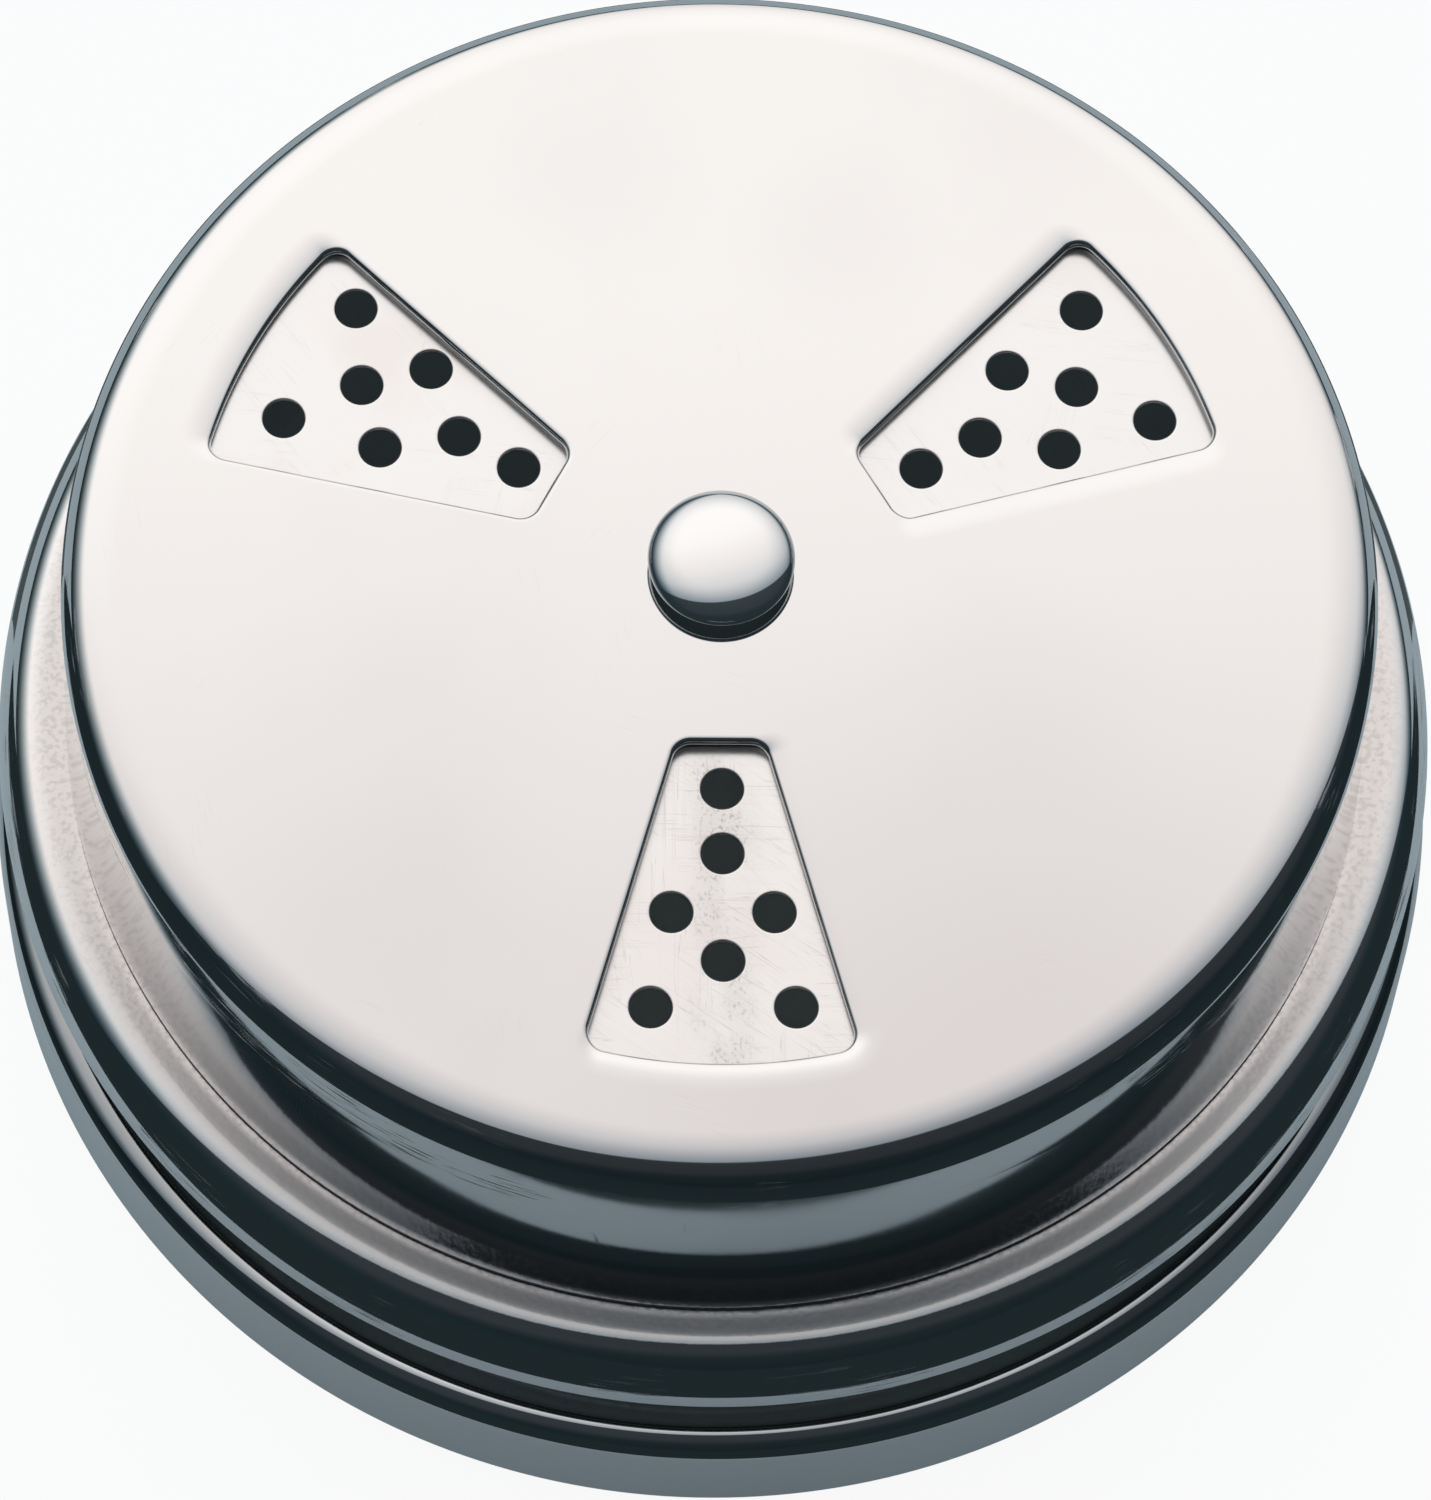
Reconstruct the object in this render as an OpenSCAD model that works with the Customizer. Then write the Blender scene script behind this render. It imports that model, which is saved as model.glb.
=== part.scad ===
// Low steel shaker for grated cheese, for the table.
// A stepped container, a sieve lid that slips over its neck, and a cover with
// three windows that turns on the lid to open or close the holes.
// Millimetres. The origin is the middle of the underside, and +Z points up.

/* [Container] */
// Outside diameter of the base
base_d = 80; // [76:0.5:84]
// Height of the base, up to the flat of its shoulder
base_h = 9; // [7:0.1:11]
// Rounding of the base's lower edge
foot_round = 1.5; // [1:0.1:2]
// Rounding of the base's shoulder
shoulder_round = 1.8; // [1:0.1:2.5]
// Rounding between the shoulder and the neck
neck_root_round = 1.5; // [1:0.1:2]
// Sheet thickness of the container
container_t = 0.8; // [0.6:0.05:1]
// Width of the flat ring that the base stands on, with its rounded edge
foot_w = 7; // [4:0.5:12]
// Height by which that panel is raised off the table
panel_rise = 0.5; // [0.3:0.1:0.8]

/* [Sieve lid] */
// Height of the sieve's upper face above the table
sieve_z = 35.3; // [33:0.1:38]
// Sheet thickness of the lid
lid_t = 0.7; // [0.5:0.05:0.9]
// Rounding of the lid's upper edge, under the cover
lid_round = 2; // [1.2:0.1:2.4]
// Height of the ledge that the cover turns above
ledge_z = 19.6; // [18:0.1:21]
// Rounding in the corner between the lid's wall and the ledge
ledge_root_round = 0.5; // [0.3:0.1:0.6]
// How far the flared rim stays inside the base
rim_inset = 0.6; // [0:0.1:1.5]
// Height of the rim's lower edge above the table
rim_z = 14.6; // [13:0.1:15.5]
// Rounding from the ledge into the rim
rim_round = 3; // [2.5:0.1:3.8]

/* [Sieve holes] */
// Diameter of a hole
hole_d = 2.2; // [1.5:0.1:2.6]
// Place of the first single hole, from a window's inner edge (0) to its outer edge (1)
single_1_at = 0.125; // [0.11:0.005:0.14]
// Place of the second single hole
single_2_at = 0.335; // [0.32:0.005:0.36]
// Place of the inner pair of holes
pair_1_at = 0.535; // [0.52:0.005:0.55]
// Place of the third single hole
single_3_at = 0.68; // [0.66:0.005:0.7]
// Place of the outer pair of holes
pair_2_at = 0.845; // [0.83:0.005:0.88]
// Angle from a window's middle to a hole of the inner pair
pair_1_angle = 7.9; // [7.2:0.1:8.4]
// Angle from a window's middle to a hole of the outer pair
pair_2_angle = 8.7; // [8:0.1:9.2]

/* [Cover] */
// How far the cover's wall stays inside the base
cover_inset = 5; // [4.5:0.1:6]
// Height of the cover's top above the sieve
cover_rise = 1.4; // [1.3:0.05:1.8]
// Sheet thickness of the cover
cover_t = 0.7; // [0.5:0.05:0.8]
// Rounding of the cover's upper edge
cover_round = 2.6; // [2:0.1:3.2]
// How far the cover's wall widens towards its lower edge
flare_w = 0.55; // [0.2:0.05:0.7]
// Radius of that slow curve
flare_round = 100; // [60:5:120]

/* [Windows] */
// Number of windows, and of groups of holes
window_count = 3; // [2:1:4]
// Distance of a window's inner edge from the axis
window_r_in = 10.2; // [9.5:0.1:10.8]
// Distance of a window's outer edge from the cover's wall
window_margin = 7.3; // [6.5:0.1:8]
// Angle from a window's middle to its side
window_half_angle = 14.4; // [13.5:0.1:16]
// Corner radius of a window
window_corner = 1.2; // [0.8:0.1:1.6]
// Radius of the bend where the sheet turns down into a window
lip_round = 0.9; // [0.85:0.05:1]

/* [Pivot] */
// Diameter of the rivet's shank
shank_d = 4; // [3:0.1:5]
// Diameter of the rivet's domed head at its rim
knob_d = 7.8; // [7:0.1:9]
// Height of the dome above the lower edge of its rim
knob_h = 1.5; // [1.3:0.05:2]
// Rounding from the dome's crown into its rim
knob_round = 0.7; // [0.5:0.05:0.9]
// Rounding of the rim's lower edge
knob_edge = 0.2; // [0.1:0.05:0.3]
// Diameter of the foot under the dome
knob_foot_d = 5.4; // [5:0.1:6]
// Height of that foot
knob_foot_h = 0.8; // [0.6:0.1:1.2]
// Outside diameter of the glide washer between the sieve and the cover
glide_d = 11; // [9:0.5:14]
// Outside diameter of the cone spring under the sieve
spring_d = 10; // [8:0.5:12]
// Height of the cone spring as fitted
spring_h = 1; // [0.8:0.05:1.3]
// Sheet thickness of the cone spring
spring_t = 0.4; // [0.3:0.05:0.5]
// Outside diameter of the washer under the spring
tail_washer_d = 9; // [8:0.5:11]
// Thickness of that washer
tail_washer_t = 0.6; // [0.5:0.1:1]
// Diameter of the rivet's closed tail
tail_d = 6.4; // [6:0.1:7.5]
// Height of the rivet's closed tail
tail_h = 1.2; // [1:0.1:1.6]

/* [Seal ring] */
// Diameter of the ring's section
seal_section_d = 1.6; // [1.4:0.05:1.8]
// Height of the ring's middle above the table
seal_z = 27; // [24:0.5:30]

/* [Clearances] */
// Gap between the cover's wall and the lid's wall
cover_gap = 0.3; // [0.25:0.05:0.5]
// Gap between the cover's lower edge and the ledge
skirt_gap = 0.3; // [0.25:0.05:0.5]
// Gap between a window's lip and the sieve
lip_gap = 0.25; // [0.2:0.05:0.4]
// Gap between the lid's wall and the container's neck
neck_gap = 0.6; // [0.5:0.05:0.8]
// Gap between the neck's rim and the sieve above it
rim_gap = 0.3; // [0.25:0.05:0.5]
// Gap between the seal ring and the lid's wall
seal_gap = 0.1; // [0.05:0.05:0.2]
// Gap all round the shank in the pieces that it passes
shank_gap = 0.05; // [0.03:0.01:0.1]
// Gap above and below the cover where the rivet holds it
hold_gap = 0.1; // [0.05:0.05:0.15]

/* [Hidden] */
$fn = 96;
// Overlap that lets a cut reach past the face that it starts from
past = 1;

base_r = base_d / 2;
cover_r = base_r - cover_inset;
cover_z = sieve_z + cover_rise;
cover_in_r = cover_r - cover_t;
cover_low_z = ledge_z + skirt_gap;
lid_r = cover_in_r - cover_gap;
lid_in_r = lid_r - lid_t;
sieve_low_z = sieve_z - lid_t;
rim_r = base_r - rim_inset;
panel_r = base_r - foot_w;
neck_r = lid_in_r - neck_gap;
neck_top_z = sieve_low_z - rim_gap;
seal_mid_r = lid_in_r - seal_gap - seal_section_d / 2;
shank_r = shank_d / 2;
shank_hole_r = shank_r + shank_gap;
glide_t = cover_rise - cover_t - hold_gap;
knob_low_z = cover_z + hold_gap;
knob_rim_z = knob_low_z + knob_foot_h;
spring_low_z = sieve_low_z - spring_h;
tail_washer_low_z = spring_low_z - tail_washer_t;

window_r_out = cover_r - window_margin;
// Angles from a window's middle to the centres of its corner arcs
outer_corner_angle = window_half_angle - asin(window_corner / (window_r_out - window_corner));
inner_corner_angle = window_half_angle - asin(window_corner / (window_r_in + window_corner));
// How far a lip's rods and arcs run on into its corners, and how much thicker the corners are
lip_reach = 0.8;
lip_seam = 0.015;
// Distances along a window's side where its straight stretch starts and ends
side_start = sqrt(pow(window_r_in + window_corner, 2) - pow(window_corner, 2));
side_end = sqrt(pow(window_r_out - window_corner, 2) - pow(window_corner, 2));

steel = "#c9ccd0";
satin_steel = "#b4b0ad";
rubber_grey = "#5b5f63";
white_plastic = "#e8e8e4";

function polar(r, angle) = [r * cos(angle), r * sin(angle)];

// Section helpers. A section is drawn with the axis at x = 0 and height as y.

// What is cut from an outer upper corner at (r, z) to round it
module upper_round(r, z, round) {
    difference() {
        translate([r - round, z - round])
            square(round + past);
        translate([r - round, z - round])
            circle(round);
    }
}

// What is cut from an outer lower corner at (r, z) to round it
module lower_round(r, z, round) {
    difference() {
        translate([r - round, z - past])
            square(round + past);
        translate([r - round, z + round])
            circle(round);
    }
}

// What fills the corner between a wall at r and a floor at z
module root_round(r, z, round) {
    difference() {
        translate([r, z])
            square(round);
        translate([r + round, z + round])
            circle(round);
    }
}

// A block from the axis out to r, between two heights
module block(r, low, high) {
    translate([0, low])
        square([r, high - low]);
}

// Container

module container_solid_section() {
    difference() {
        block(base_r, 0, base_h);
        upper_round(base_r, base_h, shoulder_round);
        lower_round(base_r, 0, foot_round);
    }
    block(neck_r, base_h - container_t, neck_top_z);
    root_round(neck_r, base_h, neck_root_round);
}

module container_hollow_section() {
    floor_z = container_t + panel_rise;
    ceiling_z = base_h - container_t;
    wall_r = base_r - container_t;
    neck_in_r = neck_r - container_t;
    difference() {
        block(wall_r, container_t, ceiling_z);
        upper_round(wall_r, ceiling_z, shoulder_round - container_t);
        lower_round(wall_r, container_t, foot_round - container_t);
        block(panel_r + container_t, container_t - past, floor_z);
    }
    block(neck_in_r, floor_z, neck_top_z + past);
    root_round(neck_in_r, ceiling_z, neck_root_round + container_t);
}

// The neck's rolled groove, which the seal ring lies in
module seal_groove_section() {
    difference() {
        translate([seal_mid_r, seal_z])
            circle(seal_section_d / 2 + container_t);
        translate([neck_r, 0])
            square([base_r, cover_z]);
    }
}

module container() {
    color(steel)
        rotate_extrude()
            difference() {
                union() {
                    difference() {
                        container_solid_section();
                        container_hollow_section();
                    }
                    seal_groove_section();
                }
                translate([seal_mid_r, seal_z])
                    circle(seal_section_d / 2);
                block(panel_r, -past, panel_rise);
                upper_round(neck_r, neck_top_z, container_t / 2);
            }
}

module seal_ring() {
    color(rubber_grey)
        rotate_extrude()
            translate([seal_mid_r, seal_z])
                circle(seal_section_d / 2);
}

// Sieve lid

module lid_solid_section() {
    difference() {
        block(lid_r, ledge_z - lid_t, sieve_z);
        upper_round(lid_r, sieve_z, lid_round);
    }
    root_round(lid_r, ledge_z, ledge_root_round);
    difference() {
        block(rim_r, rim_z, ledge_z);
        upper_round(rim_r, ledge_z, rim_round);
        lower_round(rim_r, rim_z, lid_t / 2);
    }
}

module lid_hollow_section() {
    ceiling_z = ledge_z - lid_t;
    difference() {
        block(lid_in_r, rim_z - past, sieve_low_z);
        upper_round(lid_in_r, sieve_low_z, lid_round - lid_t);
    }
    root_round(lid_in_r, ceiling_z, ledge_root_round + lid_t);
    difference() {
        block(rim_r - lid_t, rim_z - past, ceiling_z);
        upper_round(rim_r - lid_t, ceiling_z, rim_round - lid_t);
    }
}

module sieve_hole(place, angle) {
    r = window_r_in + place * (window_r_out - window_r_in);
    rotate(angle)
        translate([r, 0, sieve_low_z - past])
            cylinder(d = hole_d, h = lid_t + 2 * past);
}

module hole_group() {
    for (place = [single_1_at, single_2_at, single_3_at])
        sieve_hole(place, 0);
    for (side = [-1, 1]) {
        sieve_hole(pair_1_at, side * pair_1_angle);
        sieve_hole(pair_2_at, side * pair_2_angle);
    }
}

module sieve_lid() {
    color(satin_steel)
        difference() {
            rotate_extrude()
                difference() {
                    lid_solid_section();
                    lid_hollow_section();
                }
            at_windows()
                hole_group();
            translate([0, 0, sieve_low_z - past])
                cylinder(r = shank_hole_r, h = lid_t + 2 * past);
        }
}

// Cover

// Places its children at each window; the first one faces the front
module at_windows() {
    for (i = [0 : window_count - 1])
        rotate(i * 360 / window_count - 90)
            children();
}

module cover_solid_section() {
    turn_angle = acos(1 - flare_w / flare_round);
    turn_z = cover_low_z + flare_round * sin(turn_angle);
    difference() {
        block(cover_r, cover_low_z, cover_z);
        upper_round(cover_r, cover_z, cover_round);
    }
    difference() {
        block(cover_r + flare_w, cover_low_z, turn_z);
        translate([cover_r + flare_round, turn_z])
            circle(flare_round);
    }
}

module cover_hollow_section() {
    turn_angle = acos(1 - flare_w / flare_round);
    turn_z = cover_low_z + flare_round * sin(turn_angle);
    difference() {
        block(cover_in_r, cover_low_z - past, cover_z - cover_t);
        upper_round(cover_in_r, cover_z - cover_t, cover_round - cover_t);
    }
    difference() {
        block(cover_in_r + flare_w, cover_low_z - past, turn_z);
        translate([cover_r + flare_round, turn_z])
            circle(flare_round + cover_t);
    }
}

// A wedge from the axis, wide enough for any window
module wedge(half_angle) {
    reach = 2 * base_r;
    polygon([[0, 0], polar(reach, -half_angle), polar(reach, half_angle)]);
}

// A window's outline, grown outwards all round
module window_outline(grown) {
    corner = window_corner + grown;
    inner = polar(window_r_in + window_corner, inner_corner_angle);
    outer = polar(window_r_out - window_corner, outer_corner_angle);
    outwards = polar(corner, window_half_angle + 90);
    for (side = [0, 1])
        mirror([0, side]) {
            translate(inner)
                circle(corner);
            translate(outer)
                circle(corner);
            polygon([inner, outer, outer + outwards, inner + outwards]);
        }
    intersection() {
        difference() {
            circle(window_r_out + grown);
            circle(window_r_in + window_corner);
        }
        wedge(outer_corner_angle);
    }
    intersection() {
        difference() {
            circle(window_r_in + 2 * window_corner);
            circle(window_r_in - grown);
        }
        wedge(inner_corner_angle);
    }
}

// The bead that the sheet's bend follows round one window, as straight rods and
// arcs. The corner arcs are a seam thicker, so that each rod ends inside them.
module lip_bead() {
    for (outer = [0, 1]) {
        r = outer == 1 ? window_r_out + lip_round : window_r_in - lip_round;
        angle = outer == 1 ? outer_corner_angle : inner_corner_angle;
        half_angle = angle + asin(lip_reach / r);
        rotate(-half_angle)
            rotate_extrude(angle = 2 * half_angle)
                translate([r, 0])
                    circle(lip_round);
    }
    for (side = [0, 1])
        mirror([0, side, 0]) {
            translate(polar(window_r_out - window_corner, outer_corner_angle))
                rotate(outer_corner_angle)
                    corner_bead(90 + window_half_angle - outer_corner_angle);
            translate(polar(window_r_in + window_corner, inner_corner_angle))
                rotate(window_half_angle + 90)
                    corner_bead(90 + inner_corner_angle - window_half_angle);
            rotate(window_half_angle)
                translate([side_start - lip_reach, lip_round, 0])
                    rotate([0, 90, 0])
                        cylinder(r = lip_round, h = side_end - side_start + 2 * lip_reach);
        }
}

module corner_bead(angle) {
    rotate_extrude(angle = angle)
        translate([window_corner + lip_round, 0])
            circle(lip_round + lip_seam);
}

// The drawn lip of one window, with z = 0 at the cover's top: the bead's inner
// half, hollowed below so that only the bent sheet is left
module window_lip() {
    lip_low_z = lip_gap - cover_rise;
    hollow_reach = 3 * lip_round;
    difference() {
        intersection() {
            translate([0, 0, -lip_round - 2 * lip_seam])
                lip_bead();
            translate([0, 0, lip_low_z])
                cylinder(r = base_r, h = cover_rise);
        }
        translate([0, 0, lip_low_z - past])
            linear_extrude(past - lip_low_z - cover_t - lip_seam)
                difference() {
                    window_outline(hollow_reach);
                    window_outline(cover_t);
                }
    }
}

module turning_cover() {
    color(steel) {
        difference() {
            rotate_extrude()
                difference() {
                    cover_solid_section();
                    cover_hollow_section();
                }
            at_windows()
                translate([0, 0, cover_z - cover_t - past])
                    linear_extrude(cover_t + 2 * past)
                        window_outline(lip_round);
            translate([0, 0, cover_z - cover_t - past])
                cylinder(r = shank_hole_r, h = cover_t + 2 * past);
        }
        at_windows()
            translate([0, 0, cover_z])
                window_lip();
    }
}

// Pivot

// The dome: a low crown that rounds over into the rim
module dome_section() {
    rim_r = knob_d / 2;
    edge_r = rim_r - knob_round;
    edge_z = knob_rim_z + knob_edge;
    rise = knob_h - knob_edge;
    crown_r = (pow(rise, 2) + pow(edge_r, 2) - pow(knob_round, 2)) / (2 * (rise - knob_round));
    // Where the crown runs over into the rounding
    meet_r = edge_r * crown_r / (crown_r - knob_round);
    difference() {
        intersection() {
            translate([0, knob_rim_z + knob_h - crown_r])
                circle(crown_r);
            block(rim_r, knob_rim_z, knob_rim_z + knob_h + past);
        }
        difference() {
            translate([meet_r, edge_z])
                square([rim_r, knob_h]);
            translate([edge_r, edge_z])
                circle(knob_round);
        }
        lower_round(rim_r, knob_rim_z, knob_edge);
    }
}

// The closed tail: a low cap that holds the washer
module tail_section() {
    rim_r = tail_d / 2;
    sphere_r = (pow(rim_r, 2) + pow(tail_h, 2)) / (2 * tail_h);
    intersection() {
        translate([0, tail_washer_low_z - tail_h + sphere_r])
            circle(sphere_r);
        block(tail_d, tail_washer_low_z - tail_h - past, tail_washer_low_z);
    }
}

module pivot_rivet() {
    color(steel)
        rotate_extrude()
            intersection() {
                union() {
                    dome_section();
                    block(knob_foot_d / 2, knob_low_z, knob_rim_z);
                    block(shank_r, tail_washer_low_z, knob_low_z);
                    tail_section();
                }
                translate([0, -past])
                    square([base_r, cover_z + base_r]);
            }
}

module glide_washer() {
    color(white_plastic)
        translate([0, 0, sieve_z])
            difference() {
                cylinder(d = glide_d, h = glide_t);
                translate([0, 0, -past])
                    cylinder(r = shank_hole_r, h = glide_t + 2 * past);
            }
}

module cone_spring() {
    color(steel)
        rotate_extrude()
            polygon([
                [shank_hole_r, spring_low_z],
                [shank_hole_r + spring_t, spring_low_z],
                [spring_d / 2, sieve_low_z - spring_t],
                [spring_d / 2, sieve_low_z],
                [spring_d / 2 - spring_t, sieve_low_z],
                [shank_hole_r, spring_low_z + spring_t]
            ]);
}

module tail_washer() {
    color(steel)
        translate([0, 0, tail_washer_low_z])
            difference() {
                cylinder(d = tail_washer_d, h = tail_washer_t);
                translate([0, 0, -past])
                    cylinder(r = shank_hole_r, h = tail_washer_t + 2 * past);
            }
}

container();
seal_ring();
sieve_lid();
turning_cover();
pivot_rivet();
glide_washer();
cone_spring();
tail_washer();
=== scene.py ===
"""Looks of the low steel cheese shaker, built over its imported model.

The turned and drawn sheet pieces are made again as smooth meshes on the sizes of the
solids, every piece gets its finish, and a pale floor, soft light and a camera are set.
Lengths in the classes are millimetres; meshes are made in metres.
"""

import logging
import math
from dataclasses import dataclass, field
from enum import Enum
from typing import Any, Callable, Iterable, Sequence

import bmesh
import bpy
import numpy as np
from bpy.types import Material, Mesh, Node, NodeSocket, NodeTree, Object
from mathutils import Matrix, Vector, geometry


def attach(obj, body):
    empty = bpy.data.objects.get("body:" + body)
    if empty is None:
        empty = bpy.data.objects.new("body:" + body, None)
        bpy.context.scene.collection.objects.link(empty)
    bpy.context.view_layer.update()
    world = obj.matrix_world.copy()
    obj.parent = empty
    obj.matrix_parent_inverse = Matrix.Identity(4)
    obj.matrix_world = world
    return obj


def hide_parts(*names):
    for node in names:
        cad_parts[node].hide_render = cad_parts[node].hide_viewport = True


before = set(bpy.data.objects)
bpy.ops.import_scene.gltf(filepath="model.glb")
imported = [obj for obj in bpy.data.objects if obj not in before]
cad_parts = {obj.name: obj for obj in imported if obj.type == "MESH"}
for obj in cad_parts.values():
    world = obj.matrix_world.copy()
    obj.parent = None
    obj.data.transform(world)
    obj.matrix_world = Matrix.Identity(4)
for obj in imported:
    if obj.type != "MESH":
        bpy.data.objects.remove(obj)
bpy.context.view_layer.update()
LOG = logging.getLogger("shaker")

MM = 0.001
SEGMENTS = 288
SUPPORT = 0.03
SHARP = 40.0
WELD_DISTANCE = 2e-6
FILL_DISTANCE = 1e-7
FILL_INSIDE = 1
MERGE_DISTANCE = 1e-7
LEAST_LENGTH = 1e-9

Point = tuple[float, float]
Spot = tuple[float, float, float]
Span = tuple[float, float]
Colour = tuple[float, float, float]
Loop = Sequence[Point]

BLACK: Colour = (0.0, 0.0, 0.0)
WHITE: Colour = (1.0, 1.0, 1.0)
DUSK: Colour = (0.012, 0.020, 0.023)


class Body(Enum):
    """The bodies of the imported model."""

    CONTAINER = "container"
    LID = "lid"
    COVER = "cover"


class Slot(Enum):
    """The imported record's material slots of the pieces made here."""

    POLISHED = "polished_steel"
    SATIN = "satin_steel"


class Edge(Enum):
    """The four edges of a window, named by where they lie."""

    OUTER = 0
    LEFT_TURN = 1
    INNER = 2
    RIGHT_TURN = 3


def adds_math(operation: str, swapped: bool = False) -> Callable[..., "Signal"]:
    """Makes a method that adds one Math node after a signal.

    Args:
        operation: the Math node's operation.
        swapped: True where the other value comes first.

    Returns:
        The method.
    """

    def method(self: "Signal", other: Any = 0.0) -> "Signal":
        """Adds the Math node on this signal and another signal or number."""
        sockets = {int(swapped): self, int(not swapped): other}
        return self.maker.out(self.maker.make("ShaderNodeMath", sockets, {"operation": operation}))

    return method


class Signal:
    """A node's output that takes part in Python arithmetic.

    Args:
        maker: the node maker that owns the tree.
        socket: the output socket.
    """

    __add__ = adds_math("ADD")
    __radd__ = adds_math("ADD", True)
    __sub__ = adds_math("SUBTRACT")
    __rsub__ = adds_math("SUBTRACT", True)
    __mul__ = adds_math("MULTIPLY")
    __truediv__ = adds_math("DIVIDE")
    __pow__ = adds_math("POWER")
    root = adds_math("SQRT")
    abs = adds_math("ABSOLUTE")
    angle = adds_math("ARCTAN2")
    larger = adds_math("MAXIMUM")
    smaller = adds_math("MINIMUM")

    def __init__(self, maker: "NodeMaker", socket: NodeSocket) -> None:
        """Keeps the socket and the maker that adds nodes after it."""
        self.maker = maker
        self.socket = socket

    def step(self, low: float, high: float) -> "Signal":
        """A smooth step from 0 at low to 1 at high.

        Args:
            low: where the step starts; may lie above high.
            high: where the step ends.

        Returns:
            The step as a signal from 0 to 1.
        """
        turned = low > high
        sockets = {
            "Value": self,
            "From Min": min(low, high),
            "From Max": max(low, high),
            "To Min": float(turned),
            "To Max": float(not turned),
        }
        settings = {"interpolation_type": "SMOOTHSTEP"}
        return self.maker.out(self.maker.make("ShaderNodeMapRange", sockets, settings))

    def over(self, span: Span) -> "Signal":
        """A smooth step over a span in millimetres, for a signal in metres."""
        return self.step(span[0] * MM, span[1] * MM)


class NodeMaker:
    """Adds nodes to one tree, of a material, a world or a Geometry Nodes group.

    Args:
        tree: the node tree.
    """

    def __init__(self, tree: NodeTree) -> None:
        """Keeps the tree."""
        self.tree = tree

    def make(
        self,
        kind: str,
        sockets: dict[Any, Any] | None = None,
        settings: dict[str, Any] | None = None,
    ) -> Node:
        """Adds one node.

        Args:
            kind: the node's type.
            sockets: input values or links, by name or by number.
            settings: properties set first; "stops" fills a colour ramp.

        Returns:
            The node.
        """
        node = self.tree.nodes.new(kind)
        for name, value in (settings or {}).items():
            if name == "stops":
                ramp = node.color_ramp
                while len(ramp.elements) < len(value):
                    ramp.elements.new(1.0)
                for element, (place, colour) in zip(ramp.elements, value):
                    element.position = place
                    element.color = (*colour, 1.0)
            else:
                setattr(node, name, value)
        for key, value in (sockets or {}).items():
            socket = node.inputs[key]
            if isinstance(value, Signal):
                self.tree.links.new(value.socket, socket)
            elif isinstance(value, NodeSocket):
                self.tree.links.new(value, socket)
            elif socket.type == "RGBA":
                socket.default_value = (*value, 1.0)
            else:
                socket.default_value = value
        return node

    def out(self, node: Node, output: Any = 0) -> Signal:
        """One output of a node as a signal."""
        return Signal(self, node.outputs[output])

    def axes(self, place: Signal) -> tuple[Signal, Signal, Signal]:
        """The three axes of a vector."""
        split = self.make("ShaderNodeSeparateXYZ", {0: place})
        return self.out(split, 0), self.out(split, 1), self.out(split, 2)

    def mix_colour(self, factor: Any, first: Any, second: Any, blend: str = "MIX") -> Signal:
        """Mixes two colours, the first one at factor 0."""
        settings = {"data_type": "RGBA", "blend_type": blend}
        return self.out(self.make("ShaderNodeMix", {0: factor, 6: first, 7: second}, settings), 2)


def blank_material(name: str) -> tuple[Material, NodeMaker]:
    """Makes an empty material.

    Args:
        name: the material's name.

    Returns:
        The material and its node maker.
    """
    made = bpy.data.materials.new(name)
    made.use_nodes = True
    made.node_tree.nodes.clear()
    return made, NodeMaker(made.node_tree)


@dataclass(frozen=True)
class Patches:
    """A noise field cut to soft patches: 0 at the first end of the span, 1 at the last."""

    scale: float
    detail: float
    span: Span
    stretch: Spot = (1.0, 1.0, 1.0)
    turn: float = 0.0


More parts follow.
